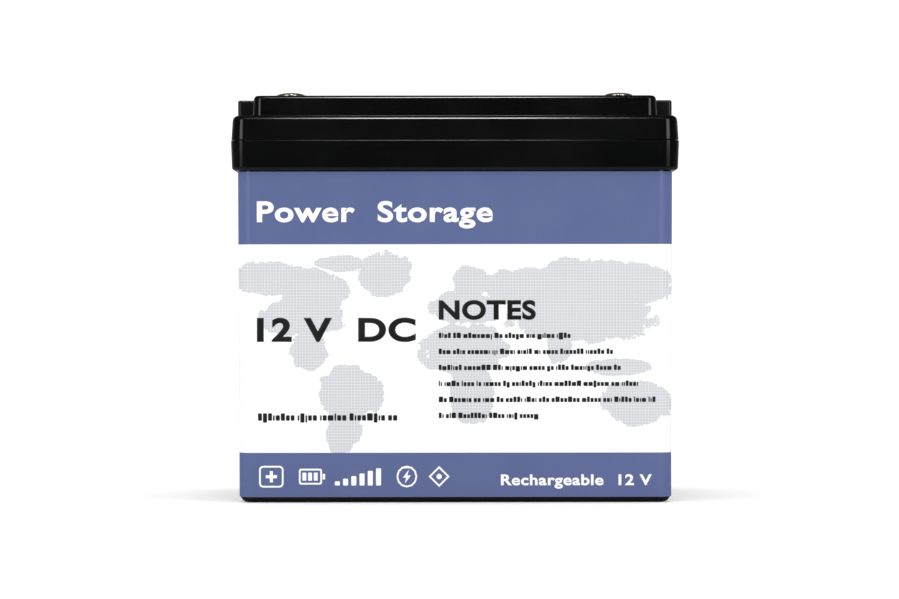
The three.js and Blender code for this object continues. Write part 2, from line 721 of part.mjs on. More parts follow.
// The cells. Every other one faces the other way, so that the busbars can join them in series.
const stack = addGroup(battery, CELL_X);
const cellY = (number) => (number - (CELL_COUNT + 1) / 2) * CELL_PITCH;
for (let number = 1; number <= CELL_COUNT; number++) {
  const turn = number % 2 ? 0 : Math.PI;
  add(stack, `cell_${number}`, cell(), CELL_WRAP, [0, cellY(number), CELL_BASE], turn);
}
const nutShape = flangeNut();
for (let number = 1; number <= CELL_COUNT; number++) {
  add(stack, `stud_nut_left_${number}`, nutShape, STEEL, [-POST_X, cellY(number), NUT_Z]);
  add(stack, `stud_nut_right_${number}`, nutShape, STEEL, [POST_X, cellY(number), NUT_Z]);
}
const spacerShape = block([0, 0, 0], [CELL_LENGTH - 2, SPACER_THICK, CELL_HEIGHT - 2]);
for (let number = 1; number < CELL_COUNT; number++) {
  const y = cellY(number) + CELL_PITCH / 2;
  const side = number % 2 ? 1 : -1;
  add(stack, `cell_spacer_${number}`, spacerShape, FIBRE_BOARD, [0, y, CELL_MIDDLE]);
  add(stack, `busbar_${number}`, busbar(), TINNED_COPPER, [side * POST_X, y, BUSBAR_Z]);
}
const endBoardShape = block([0, 0, 0], [CELL_LENGTH - 6, END_BOARD_THICK, CELL_HEIGHT - 4]);
const endBoardY = cellY(CELL_COUNT) + CELL_THICK / 2 + END_BOARD_THICK / 2 + 0.2;
add(stack, "end_board_front", endBoardShape, FIBRE_BOARD, [0, -endBoardY, CELL_MIDDLE]);
add(stack, "end_board_back", endBoardShape, FIBRE_BOARD, [0, endBoardY, CELL_MIDDLE]);
add(stack, "stack_band_lower", stackBand(), STRAP_WHITE, [0, 0, BAND_LOWER_Z]);
add(stack, "stack_band_upper", stackBand(), STRAP_WHITE, [0, 0, BAND_UPPER_Z]);
const basePadSize = [CELL_LENGTH - 4, BAY_DEPTH, BASE_PAD_THICK];
const basePadZ = CELL_BASE - 0.2 - BASE_PAD_THICK / 2;
add(stack, "base_pad", block([0, 0, basePadZ], basePadSize), FOAM);
const coverZ = CELL_TOP + STUD_HEIGHT + 3 * GAP;
const coverSize = [CELL_LENGTH - 27, BAY_DEPTH - 2, COVER_THICK];
add(stack, "cover_sheet", block([12.5, 0, coverZ], coverSize), FIBRE_BOARD);

// The bay to the right of the cells.
const dividerSize = [DIVIDER_THICK, BAY_DEPTH, CELL_HEIGHT - 0.6];
const dividerZ = DIVIDER_BASE + dividerSize[2] / 2;
add(battery, "bay_divider", block([DIVIDER_X, 0, dividerZ], dividerSize), FIBRE_BOARD);
add(battery, "protection_board", circuitBoard(), CIRCUIT_GREEN);
add(battery, "transistor_bank", transistorBank(), CHIP_BLACK);
add(battery, "heat_sink", heatSink(), ALUMINIUM);
const plugX = BOARD_FACE + GAP + PLUG.thick / 2;
const plugSize = [PLUG.thick, PLUG.width, PLUG.height];
add(battery, "balance_plug", block([plugX, PLUG.y, PLUG.z], plugSize), PLUG_WHITE);
const foamCorner = (end) => [BAY_FOAM.x[end], BAY_FOAM.y[end], BAY_FOAM.z[end]];
add(battery, "bay_foam", box(foamCorner(0), foamCorner(1)), FOAM);

// Lugs on the two end studs of the stack, under their nuts.
const studLug = ringLug(SCREW_HOLE, LUG_BARREL);
const firstStud = [-POST_X, cellY(1), BUSBAR_Z];
const lastStud = [-POST_X, cellY(CELL_COUNT), BUSBAR_Z];
add(stack, "stack_lug_negative", studLug, TINNED_COPPER, firstStud);
add(stack, "stack_lug_positive", studLug, TINNED_COPPER, lastStud, Math.PI);

// Cables, each from inside one crimp barrel or pad to the next.
const studX = CELL_X - POST_X;
const barrelTop = LUG_Z + LUG_THICK - LUG_BARREL;
const barrelLow = BUSBAR_Z + LUG_BARREL;
const padTop = PAD_Z + PAD_SIZE[2] / 2 + GAP;
const padX = BOARD_FACE + GAP + CABLE_RADIUS;
const positiveRoute = [
  [studX - 12.5, cellY(4), barrelLow],
  [studX - 19, cellY(4), barrelLow],
  [-99.5, 39, 187.4],
  [-102.2, 29, 187.7],
  [-102, 10, 188.2],
  [-98, -9, 188.9],
  [-90, -21, 189.3],
  [-85, -28, barrelTop],
  [-TERMINAL_X, -33, barrelTop],
  [-TERMINAL_X, -37, barrelTop],
];
const stackRoute = [
  [studX + 12.5, cellY(1), barrelLow],
  [studX + 19, cellY(1), barrelLow],
  [-44, -41.5, 188.2],
  [-30, -33, 189.2],
  [-12, -29.6, 189.3],
  [14, -29.6, 189.3],
  [27, -30.6, 188.6],
  [37, -33, 184],
  [padX - 0.6, -34.8, 174],
  [padX, -35, 164],
  [padX, -35, padTop],
];
const outputRoute = [
  [padX, 0, padTop],
  [padX, -0.3, 164],
  [45, -4, 175],
  [48.5, -15, 183],
  [53, -29, 186.8],
  [57.5, -42, 188.8],
  [62, -48, barrelTop],
  [66.5, TERMINAL_Y, barrelTop],
  [71.5, TERMINAL_Y, barrelTop],
];
add(battery, "positive_cable", tube(positiveRoute, CABLE_RADIUS, 20), CABLE_RED);
add(battery, "stack_cable", tube(stackRoute, CABLE_RADIUS, 24), CABLE_BLACK);
add(battery, "output_cable", tube(outputRoute, CABLE_RADIUS, 16), CABLE_BLACK);

// Sense wires: each leaves a busbar or lug, runs in a lane over the cells, fans in and drops to
// the plug. The wires from the left side start with the same bend down from their tap.
const WIRE_Z = CELL_TOP + 1.4;
const TAP_Z = BUSBAR_Z + LUG_THICK / 2;
const BUSBAR_EDGE = CELL_X + POST_X + BUSBAR_WIDTH / 2 + GAP;
const WIRES = [
  { lane: -32, pin: -5, bow: 5, tap: [-69.7, -37.7, TAP_Z], fromLeft: true },
  { lane: -28, pin: -2.5, bow: 2.5, tap: [BUSBAR_EDGE, -29.6, TAP_Z], fromLeft: false },
  { lane: 0, pin: 0, bow: 0, tap: [-63.2, 0, TAP_Z], fromLeft: true },
  { lane: 28, pin: 2.5, bow: 0, tap: [BUSBAR_EDGE, 29.6, TAP_Z], fromLeft: false },
  { lane: 32, pin: 5, bow: 0, tap: [-69.7, 37.7, TAP_Z], fromLeft: true },
];
// The fan from lane to pin: `share` is how far across it is, and `spread` how far it bows outwards.
const FAN = [
  { x: 17, share: 0, spread: 0, z: WIRE_Z },
  { x: 24, share: 0.3, spread: 1, z: WIRE_Z },
  { x: 31, share: 0.75, spread: 1, z: WIRE_Z },
  { x: 38, share: 0.97, spread: 0.5, z: WIRE_Z - 1.5 },
  { x: 43, share: 1, spread: 0, z: WIRE_Z - 9 },
  { x: plugX, share: 1, spread: 0, z: PLUG.z + PLUG.height / 2 + GAP },
];
WIRES.forEach(({ lane, pin, bow, tap, fromLeft }, order) => {
  const points = [tap];
  if (fromLeft) {
    points.push([-60, lane, WIRE_Z + 0.4]);
    for (let x = -54; x < FAN[0].x; x += 22) points.push([x, lane, WIRE_Z]);
  }
  for (const { x, share, spread, z } of FAN) {
    points.push([x + bow * spread, lane + (PLUG.y + pin - lane) * share, z]);
  }
  const steps = fromLeft ? 20 : 12;
  add(battery, `sense_wire_${order + 1}`, tube(points, WIRE_RADIUS, steps), CABLE_BLACK);
});

export default battery;
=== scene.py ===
"""The deep cycle battery's looks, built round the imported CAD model.

Everything is in metres, in the CAD frame: +X right, front towards -Y, +Z up.
"""

import json
import math
import random

import bmesh
import bpy
from mathutils import Matrix, Vector


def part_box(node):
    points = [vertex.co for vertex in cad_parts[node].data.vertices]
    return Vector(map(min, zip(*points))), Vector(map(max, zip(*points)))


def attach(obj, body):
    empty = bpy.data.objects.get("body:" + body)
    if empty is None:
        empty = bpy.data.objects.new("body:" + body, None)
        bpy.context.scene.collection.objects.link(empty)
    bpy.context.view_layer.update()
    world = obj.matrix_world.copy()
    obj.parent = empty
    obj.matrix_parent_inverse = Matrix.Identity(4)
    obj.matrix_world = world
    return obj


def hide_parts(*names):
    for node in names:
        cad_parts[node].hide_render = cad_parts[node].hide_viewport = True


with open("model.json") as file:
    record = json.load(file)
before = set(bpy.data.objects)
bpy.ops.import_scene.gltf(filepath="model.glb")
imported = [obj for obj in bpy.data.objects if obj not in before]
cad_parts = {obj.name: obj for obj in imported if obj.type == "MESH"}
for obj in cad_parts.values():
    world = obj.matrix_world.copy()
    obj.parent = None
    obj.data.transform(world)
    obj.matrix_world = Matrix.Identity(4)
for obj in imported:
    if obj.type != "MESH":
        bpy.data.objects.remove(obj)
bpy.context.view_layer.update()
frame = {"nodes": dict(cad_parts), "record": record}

MM = 0.001

# ---------------------------------------------------------------- sizes from the frame

case_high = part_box("case_shell")[1]
lid_low, lid_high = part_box("lid")
label_low, label_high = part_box("front_label")
handle_low, handle_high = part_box("handle_right")

HALF_X = case_high.x
HALF_Y = case_high.y
PARTING = case_high.z
DECK_TOP = lid_high.z
TONGUE_END = lid_low.z

LABEL_BASE = label_low.z
LABEL_TOP = label_high.z

# ---------------------------------------------------------------- sizes that the boxes don't give

GAP = 0.3 * MM
WALL = 3 * MM

COLLAR_BASE = PARTING - 15.3 * MM
COLLAR_STEP = 3.8 * MM
DRAFT = 0.6 * MM
WALL_RADIUS = 7 * MM
BASE_FILLET = 4 * MM
FLOOR_FILLET = 1.5 * MM
COLLAR_RADIUS = 7.5 * MM
COLLAR_UNDERCUT = 0.5 * MM
COLLAR_FILLET = 1.8 * MM
COLLAR_EDGE = 0.35 * MM
GROOVE_INSET = 1.6 * MM
GROOVE_WIDTH = 2.6 * MM
GROOVE_FLOOR = PARTING - 5 * MM

SHOULDER = DECK_TOP - 10.4 * MM
RIM_INSET = 0.25 * MM
RIM_TOP_INSET = 0.85 * MM
RIM_FILLET = 3 * MM
RIM_FOOT = 0.25 * MM
DECK_HALF_X = HALF_X - 11.5 * MM
DECK_HALF_Y = HALF_Y - 7 * MM
DECK_RADIUS = 4.4 * MM
DECK_FILLET = 2 * MM
DECK_DRAFT = 0.5 * MM
DECK_FOOT = 0.05 * MM
DECK_CEILING = DECK_TOP - WALL
RIM_CEILING = SHOULDER - WALL

NOTCH_X = 66 * MM
NOTCH_HALF = 37.6 * MM
NOTCH_FILLET = 1 * MM
NOTCH_MOUTH_RADIUS = 2.3 * MM
NOTCH_CORNER_RADIUS = 2 * MM
TRUNNION_WALL = 5 * MM
TRUNNION_HOLE = 2.9 * MM
TRUNNION_HOLE_DEPTH = 3 * MM
TRUNNION_RADIUS = 2.6 * MM
TRUNNION_LENGTH = 4 * MM
TRUNNION_OUT = 0.6 * MM

HANDLE_HALF = 37 * MM
ARM_WIDTH = 6 * MM
GRIP_WIDTH = 12.5 * MM
HANDLE_CORNER = 1.5 * MM
HANDLE_EDGE = 1 * MM
HANDLE_THICK = handle_high.z - handle_low.z
PIVOT = Vector((handle_low.x + HANDLE_THICK / 2, 0, (handle_low.z + handle_high.z) / 2))
HANDLE_REACH = handle_high.x - PIVOT.x

WELL_RADIUS = 10.4 * MM
WELL_FLOOR = DECK_TOP - 1.6 * MM
WELL_EDGE = 0.5 * MM
BOSS_RADIUS = 9.5 * MM
BOSS_BOTTOM = DECK_TOP - 13 * MM
INSERT_POCKET = 8.85 * MM
INSERT_POCKET_FLOOR = DECK_TOP - 3.7 * MM
INSERT_HOLE = 6.3 * MM
INSERT_BARREL = 6 * MM
INSERT_BORE = 3.3 * MM
INSERT_BORE_DEPTH = 10.2 * MM
INSERT_CHAMFER = 0.3 * MM
INSERT_FLANGE = 2.2 * MM
LUG_BORE = 2.2 * MM
LUG_BORE_DEPTH = 2.6 * MM
SCREW_LENGTH = 10 * MM
SCREW_RADIUS = 3 * MM
SCREW_PITCH = 1 * MM
THREAD_DEPTH = 0.45 * MM
NECK_RADIUS = 0.95 * SCREW_RADIUS
NECK_DEPTH = 0.6 * MM
HEAD_RIM = 0.9 * MM
RECESS_LENGTH = 7 * MM
RECESS_WIDTH = 1.5 * MM
RECESS_DEPTH = 1.5 * MM
RECESS_TURN = math.radians(35)
WASHER_HOLE = 3.3 * MM
WASHER_EDGE = 0.18 * MM
RING_WIDTH = 1.3 * MM
RING_EDGE = 0.35 * MM

LABEL_LIFT = 0.15 * MM
LABEL_FACE = 0.45 * MM
LABEL_WRAP = 12 * MM
UPPER_BAND_BASE = 131.8 * MM
LOWER_BAND_TOP = 25.5 * MM
INK_LIFT = 0.02 * MM
INK_THICK = 0.04 * MM
PRINT_X = 0.7 * MM

MARK_ARM = 3.2 * MM
MARK_LINE = 0.7 * MM
MARK_HEIGHT = 0.35 * MM
MARK_SUNK = 0.1 * MM
MARK_EDGE = 0.12 * MM
MARK_INWARD = 15.5 * MM

CORNER_STEPS = 12
FILLET_STEPS = 7
ROUND_STEPS = 72

# ---------------------------------------------------------------- mesh building


class Skin:
    """A surface put together from closed rings of points, flat fills and the strips between them."""

    def __init__(self):
        self.mesh = bmesh.new()

    def ring(self, points):
        return [self.mesh.verts.new(point) for point in points]

    def strip(self, first, second):
        """Joins two rings of the same number of points."""
        count = len(first)
        for i in range(count):
            after = (i + 1) % count
            self.mesh.faces.new((first[i], first[after], second[after], second[i]))

    def loft(self, outlines):
        """Joins rings in turn, and gives back the first and the last."""
        rings = [self.ring(points) for points in outlines]
        for first, second in zip(rings, rings[1:]):
            self.strip(first, second)
        return rings[0], rings[-1]

    def cap(self, ring):
        self.mesh.faces.new(ring)

    def fill(self, *rings):
        """Fills the flat area between an outer ring and the rings of its holes."""
        edges = []
        for ring in rings:
            for i, vert in enumerate(ring):
                after = ring[(i + 1) % len(ring)]
                edges.append(self.mesh.edges.get((vert, after)) or self.mesh.edges.new((vert, after)))
        bmesh.ops.triangle_fill(self.mesh, use_beauty=True, edges=edges)

    def piece(self, name):
        return finished(self.mesh, name)


def finished(mesh, name, sharp_angle=35):
    """Turns a bmesh into a smooth-shaded object whose flat faces stay flat."""
    bmesh.ops.recalc_face_normals(mesh, faces=mesh.faces)
    data = bpy.data.meshes.new(name)
    mesh.to_mesh(data)
    mesh.free()
    piece = bpy.data.objects.new(name, data)
    bpy.context.scene.collection.objects.link(piece)
    smooth(piece, sharp_angle)
    return piece


def smooth(piece, sharp_angle=35):
    piece.data.shade_smooth()
    piece.data.set_sharp_from_angle(angle=math.radians(sharp_angle))
    if "face_normals" not in piece.modifiers:
        weighted = piece.modifiers.new("face_normals", "WEIGHTED_NORMAL")
        weighted.keep_sharp = True
        weighted.weight = 90


def outline(corners, z, steps=CORNER_STEPS):
    """A closed outline of square corners, each (x, y, radius), with every corner rounded."""
    ring = []
    for index, (x, y, radius) in enumerate(corners):
        corner = Vector((x, y))
        before = (Vector(corners[index - 1][:2]) - corner).normalized()
        after = (Vector(corners[(index + 1) % len(corners)][:2]) - corner).normalized()
        centre = corner + (before + after) * radius
        for step in range(steps + 1):
            angle = step / steps * math.pi / 2
            point = centre - (after * math.cos(angle) + before * math.sin(angle)) * radius
            ring.append((point.x, point.y, z))
    return ring


def rectangle(half_x, half_y, radius, z, grow=0.0):
    x, y, r = half_x + grow, half_y + grow, radius + grow
    return outline([(x, -y, r), (x, y, r), (-x, y, r), (-x, -y, r)], z)


def circle(centre, radius, z, steps=ROUND_STEPS):
    turns = [2 * math.pi * step / steps for step in range(steps)]
    return [(centre.x + radius * math.cos(a), centre.y + radius * math.sin(a), z) for a in turns]


def fillet(radius, steps=FILLET_STEPS):
    """(how far in, how far below the top) along a rounded edge, from its side to its top."""
    angles = [step / steps * math.pi / 2 for step in range(steps + 1)]
    return [(radius * (1 - math.cos(a)), radius * (1 - math.sin(a))) for a in angles]


def flare(radius, steps=4):
    """(how far out, how far along the wall) round the corner where a wall meets a flat face."""
    angles = [step / steps * math.pi / 2 for step in range(steps + 1)]
    return [(radius * (1 - math.sin(a)), radius * (1 - math.cos(a))) for a in angles]


def lathe(mesh, profile, steps=ROUND_STEPS):
    """Turns (radius, height) points about Z. A point with no radius is a single vertex."""
    rings = []
    for radius, z in profile:
        if radius < 1e-7:
            rings.append([mesh.verts.new((0, 0, z))])
        else:
            rings.append([mesh.verts.new(point) for point in circle(Vector((0, 0)), radius, z, steps)])
    for first, second in zip(rings, rings[1:]):
        for i in range(steps):
            after = (i + 1) % steps
            face = [first[i % len(first)], first[after % len(first)]]
            face += [second[after % len(second)], second[i % len(second)]]
            mesh.faces.new(list(dict.fromkeys(face)))


def turned(name, profile, closed=False):
    mesh = bmesh.new()
    lathe(mesh, profile + profile[:1] if closed else profile)
    if closed:
        bmesh.ops.remove_doubles(mesh, verts=mesh.verts, dist=1e-7)
    return finished(mesh, name)


def combine(piece, others, operation):
    """Cuts other solids from a piece, or joins them to it, and removes them."""
    weighted = piece.modifiers.get("face_normals")
    if weighted:
        piece.modifiers.remove(weighted)
    for other in others:
        boolean = piece.modifiers.new("boolean", "BOOLEAN")
        boolean.operation = operation
        boolean.solver = "EXACT"
        boolean.object = other
    graph = bpy.context.evaluated_depsgraph_get()
    result = bpy.data.meshes.new_from_object(piece.evaluated_get(graph))
    piece.modifiers.clear()
    piece.data = result
    for other in others:
        bpy.data.objects.remove(other)
    smooth(piece)


def rod(centre, radius, length, steps=40):
    """A plain cylinder along Y, used only to cut or to join."""
    mesh = bmesh.new()
    sizes = {"radius1": radius, "radius2": radius, "depth": length}
    bmesh.ops.create_cone(mesh, cap_ends=True, segments=steps, **sizes)
    bmesh.ops.rotate(mesh, verts=mesh.verts, matrix=Matrix.Rotation(math.pi / 2, 3, "X"))
    bmesh.ops.translate(mesh, verts=mesh.verts, vec=centre)
    return finished(mesh, "rod")


# ---------------------------------------------------------------- materials


class Look:
    """A node material: a Principled shader, object coordinates, and short ways to add textures."""

    def __init__(self, name, metallic=0.0, **constants):
        self.material = bpy.data.materials.new(name)
        self.material.use_nodes = True
        tree = self.material.node_tree
        self.nodes = tree.nodes
        self.links = tree.links
        self.shader = next(node for node in self.nodes if node.type == "BSDF_PRINCIPLED")
        self.set("Metallic", metallic)
        for socket, value in constants.items():
            self.set(socket.replace("_", " ").title().replace("Ior", "IOR"), value)
        self.place = self.nodes.new("ShaderNodeTexCoord").outputs["Object"]

    def set(self, socket, value):
        self.shader.inputs[socket].default_value = value

    def noise(self, scale, detail=3.0, rough=0.5, place=None):
        node = self.nodes.new("ShaderNodeTexNoise")
        node.inputs["Scale"].default_value = scale
        node.inputs["Detail"].default_value = detail
        node.inputs["Roughness"].default_value = rough
        self.links.new(place or self.place, node.inputs["Vector"])
        return node.outputs["Fac"]

    def math(self, operation, *values):
        node = self.nodes.new("ShaderNodeMath")
        node.operation = operation
        for socket, value in zip(node.inputs, values):
            if isinstance(value, (int, float)):
                socket.default_value = value
            else:
                self.links.new(value, socket)
        return node.outputs[0]

    def spread(self, value, low, high, to_low=0.0, to_high=1.0):
        """Maps low..high to to_low..to_high, and holds it there beyond."""
        node = self.nodes.new("ShaderNodeMapRange")
        self.links.new(value, node.inputs["Value"])
        for socket, number in zip(node.inputs[1:5], (low, high, to_low, to_high)):
            socket.default_value = number
        return node.outputs["Result"]

    def stretched(self, scale, turn=(0, 0, 0)):
        """The coordinates scaled along each axis, for streaks and grain."""
        node = self.nodes.new("ShaderNodeMapping")
        node.inputs["Scale"].default_value = scale
        node.inputs["Rotation"].default_value = turn
        self.links.new(self.place, node.inputs["Vector"])
        return node.outputs["Vector"]

    def mix(self, share, first, second):
        node = self.nodes.new("ShaderNodeMix")
        node.data_type = "RGBA"
        self.links.new(share, node.inputs["Factor"])
        for socket, colour in zip((node.inputs[6], node.inputs[7]), (first, second)):
            if isinstance(colour, tuple):
                socket.default_value = (*colour, 1)
            else:
                self.links.new(colour, socket)
        return node.outputs[2]

    def colour(self, output):
        self.links.new(output, self.shader.inputs["Base Color"])

    def roughness(self, output):
        self.links.new(output, self.shader.inputs["Roughness"])

    def bump(self, *layers):
        """Each layer is (height output, height in metres)."""
        normal = None
        for height, distance in layers:
            node = self.nodes.new("ShaderNodeBump")
            node.inputs["Distance"].default_value = distance
            self.links.new(height, node.inputs["Height"])
            if normal:
                self.links.new(normal, node.inputs["Normal"])
            normal = node.outputs["Normal"]
        self.links.new(normal, self.shader.inputs["Normal"])


def grey(level):
    return (level, level, level)


def shell_look():
    """Glossy black moulded plastic, with a faint flow in its gloss and a few fine scuffs."""
    look = Look("glossy_black_shell")
    cloud = look.noise(38, 4)
    scuffs = look.noise(260, 5, 0.65, look.stretched((1, 1, 0.12), (0.2, 0.5, 0.1)))
    dark, light = (0.0018, 0.002, 0.002), (0.003, 0.0033, 0.0033)
    look.colour(look.mix(look.spread(cloud, 0.3, 0.7), dark, light))
    gloss = look.spread(cloud, 0.3, 0.7, 0.1, 0.17)
    worn = look.spread(scuffs, 0.62, 0.78, 0.0, 0.16)
    look.roughness(look.math("ADD", gloss, worn))
    look.bump((look.noise(14, 2), 0.00012), (look.noise(1500, 2), 0.000002))
    return look.material


def handle_look():
    """Satin black plastic with a fine spark-eroded grain."""
    look = Look("satin_black_handle", specular_ior_level=0.8)
    grain = look.noise(1300, 2)
    cloud = look.noise(60, 3)
    dark, light = (0.002, 0.0022, 0.0022), (0.0045, 0.0048, 0.0048)
    look.colour(look.mix(look.spread(cloud, 0.3, 0.7), dark, light))
    look.roughness(look.spread(cloud, 0.3, 0.7, 0.16, 0.24))
    look.bump((grain, 0.00001))
    return look.material


def vinyl(look):
    """The gloss and faint orange peel that every part of the label shares."""
    cloud = look.noise(45, 3)
    look.roughness(look.spread(cloud, 0.3, 0.7, 0.3, 0.4))
    look.bump((look.noise(420, 2), 0.000006))
    return cloud


def printed_look(name, first, second):
    """One printed colour of the label, between two close shades."""
    look = Look(name)
    cloud = vinyl(look)
    look.colour(look.mix(look.spread(cloud, 0.25, 0.75), first, second))
    return look.material


# Pale patches on the label, laid out roughly like land on a map of the world:
# (x, z, half width, half height), in millimetres.
PATCHES = [
    (-95, 114, 18, 8),
    (-72, 108, 16, 10),
    (-78, 95, 19, 9),
    (-75, 78, 8, 10),
    (-58, 122, 11, 4),
    (-36, 117, 12, 11),
    (-53, 56, 15, 12),
    (-57, 38, 8, 12),
    (4, 100, 16, 8),
    (8, 112, 9, 8),
    (4, 78, 20, 12),
    (8, 56, 11, 13),
    (36, 110, 22, 9),
    (72, 112, 38, 11),
    (64, 94, 34, 11),
    (53, 80, 6, 9),
    (84, 69, 14, 4),
    (93, 51, 16, 10),
]
SHORE_WOBBLE = 3.2
SHORE_LEVELS = (1.24, 1.28)
GRID_PITCH = 1.47 * MM
GRID_LINE = 0.1 * MM
GRID_SHARE = 0.35
PATCH_GREY = (0.575, 0.584, 0.61)


def white_vinyl():
    """White, with ragged pale grey patches that a fine white grid crosses."""
    look = Look("label_white")
    cloud = vinyl(look)
    apart = look.nodes.new("ShaderNodeSeparateXYZ")
    look.links.new(look.place, apart.inputs[0])
    x, z = apart.outputs["X"], apart.outputs["Z"]
    nearest = None
    for patch_x, patch_z, half_x, half_z in PATCHES:
        across = look.math("DIVIDE", look.math("SUBTRACT", x, patch_x * MM), half_x * MM)
        along = look.math("DIVIDE", look.math("SUBTRACT", z, patch_z * MM), half_z * MM)
        away = look.math("ADD", look.math("POWER", across, 2), look.math("POWER", along, 2))
        nearest = away if nearest is None else look.math("MINIMUM", nearest, away)
    ragged = look.math("MULTIPLY", look.math("SUBTRACT", look.noise(60, 6, 0.68), 0.5), SHORE_WOBBLE)
    inside = look.spread(look.math("ADD", nearest, ragged), *SHORE_LEVELS, 1, 0)
    grid = None
    for coordinate in (x, z):
        line = look.math("PINGPONG", coordinate, GRID_PITCH / 2)
        line = look.spread(line, GRID_LINE * 0.7, GRID_LINE, 0, 1)
        grid = line if grid is None else look.math("MULTIPLY", grid, line)
    shade = look.math("MULTIPLY", inside, look.spread(grid, 0, 1, GRID_SHARE, 1))
    white = look.mix(look.spread(cloud, 0.25, 0.75), (0.9, 0.9, 0.905), (0.925, 0.925, 0.93))
    look.colour(look.mix(shade, white, PATCH_GREY))
    return look.material


def metal_look(name, dark, light, rough, grain_depth):
    """Yellow metal with a fine grain and a little tarnish."""
    look = Look(name, metallic=1.0)
    cloud = look.noise(220, 4)
    spots = look.noise(900, 3, 0.6)
    look.colour(look.mix(look.spread(cloud, 0.3, 0.7), dark, light))
    tarnish = look.spread(spots, 0.55, 0.75, 0.0, 0.14)
    look.roughness(look.math("ADD", look.spread(cloud, 0.3, 0.7, rough, rough + 0.1), tarnish))
    look.bump((look.noise(2600, 2), grain_depth))
    return look.material


def simple_look(name, dark, light, rough, metallic=0.0, scale=120, bump=0.00001, stretch=(1, 1, 1)):
    """Two close colours and a gloss that vary with one noise, with a finer noise as relief."""
    look = Look(name, metallic=metallic)
    place = look.stretched(stretch)
    cloud = look.noise(scale, 4, 0.5, place)
    look.colour(look.mix(look.spread(cloud, 0.3, 0.7), dark, light))
    look.roughness(look.spread(cloud, 0.3, 0.7, rough, min(1.0, rough + 0.15)))
    look.bump((look.noise(scale * 6, 3, 0.5, place), bump))
    return look.material


SHELL = shell_look()
HANDLE_BLACK = handle_look()
LABEL_BLUE = printed_look("label_blue", (0.0885, 0.121, 0.284), (0.0935, 0.128, 0.296))
LABEL_WHITE = white_vinyl()
INK_BLACK = printed_look("ink_black", (0.006, 0.006, 0.007), (0.012, 0.012, 0.013))
INK_WHITE = printed_look("ink_white", (0.9, 0.9, 0.905), (0.93, 0.93, 0.935))
SCREW_METAL = metal_look("yellow_screw_finish", (0.64, 0.575, 0.44), (0.94, 0.89, 0.76), 0.2, 0.000004)
INSERT_BRASS = metal_look("machined_brass", (0.5, 0.34, 0.13), (0.68, 0.5, 0.22), 0.26, 0.000006)
RING_RED = simple_look("red_ring", (0.36, 0.012, 0.01), (0.46, 0.02, 0.016), 0.25)
RING_BLACK = simple_look("black_ring", grey(0.006), grey(0.011), 0.25)

# The inner pieces' materials, by the record's slot: name, darker and lighter colour, roughness,
# metallic, the noise's scale, the height of its relief in metres, and how it is stretched.
ALONG_Z, LONG_Z, ALONG_XY = (1, 1, 0.1), (1, 1, 0.04), (0.1, 0.1, 1)
INNER_LOOKS = {
    "seal": ("sealant", grey(0.008), grey(0.02), 0.7, 0.0, 300, 0.00008),
    "cell_wrap": ("blue_film", (0.03, 0.12, 0.42), (0.05, 0.17, 0.52), 0.3, 0.0, 60, 0.00003),
    "fibre_board": (
        "fibre_sheet", (0.3, 0.37, 0.18), (0.42, 0.5, 0.28), 0.5, 0.0, 500, 0.00002, ALONG_Z,
    ),
    "strap": (
        "glass_tape", (0.66, 0.64, 0.57), (0.84, 0.82, 0.75), 0.6, 0.0, 900, 0.00004, ALONG_XY,
    ),
    "steel": ("zinc_plate", (0.48, 0.49, 0.5), (0.68, 0.69, 0.7), 0.28, 1.0, 400, 0.00001),
    "tinned_copper": ("tinned_copper", (0.68, 0.66, 0.6), (0.84, 0.82, 0.77), 0.25, 1.0, 350, 0.00001),
    "circuit_board": ("solder_mask", (0.01, 0.09, 0.035), (0.025, 0.15, 0.06), 0.35, 0.0, 250, 0.00003),
    "chip": ("moulded_chip", (0.014, 0.014, 0.015), (0.028, 0.028, 0.03), 0.45, 0.0, 900, 0.00002),
    "heat_sink": (
        "extruded_aluminium", (0.56, 0.57, 0.58), (0.74, 0.75, 0.76), 0.32, 1.0, 300, 0.00002, LONG_Z,
    ),
    "plug": ("nylon_plug", (0.72, 0.7, 0.6), (0.82, 0.8, 0.72), 0.4, 0.0, 200, 0.00001),
    "cable_red": ("red_cable", (0.36, 0.012, 0.01), (0.5, 0.03, 0.02), 0.45, 0.0, 500, 0.00002),
    "cable_black": ("black_cable", grey(0.01), grey(0.022), 0.45, 0.0, 500, 0.00002),
    "foam": ("closed_cell_foam", (0.028, 0.028, 0.03), (0.06, 0.06, 0.064), 0.85, 0.0, 700, 0.0002),
}


def dress(piece, material, slot, body, *nodes):
    """Gives a new piece its material, its body and the CAD nodes it stands for. Its slot is not used."""
    for one in material if isinstance(material, list) else [material]:
        piece.data.materials.append(one)
    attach(piece, body)
    if nodes:
        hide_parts(*nodes)
    return piece


# ---------------------------------------------------------------- case


def wall_half(z):
    """The case wall's half length and half depth at a height."""
    lean = DRAFT * (1 - z / COLLAR_BASE)
    return HALF_X - COLLAR_STEP - lean, HALF_Y - COLLAR_STEP - lean


def wall_ring(z, grow=0.0):
    return rectangle(*wall_half(z), WALL_RADIUS, z, grow)


def collar_ring(z, grow=0.0):
    return rectangle(HALF_X, HALF_Y, COLLAR_RADIUS, z, grow)


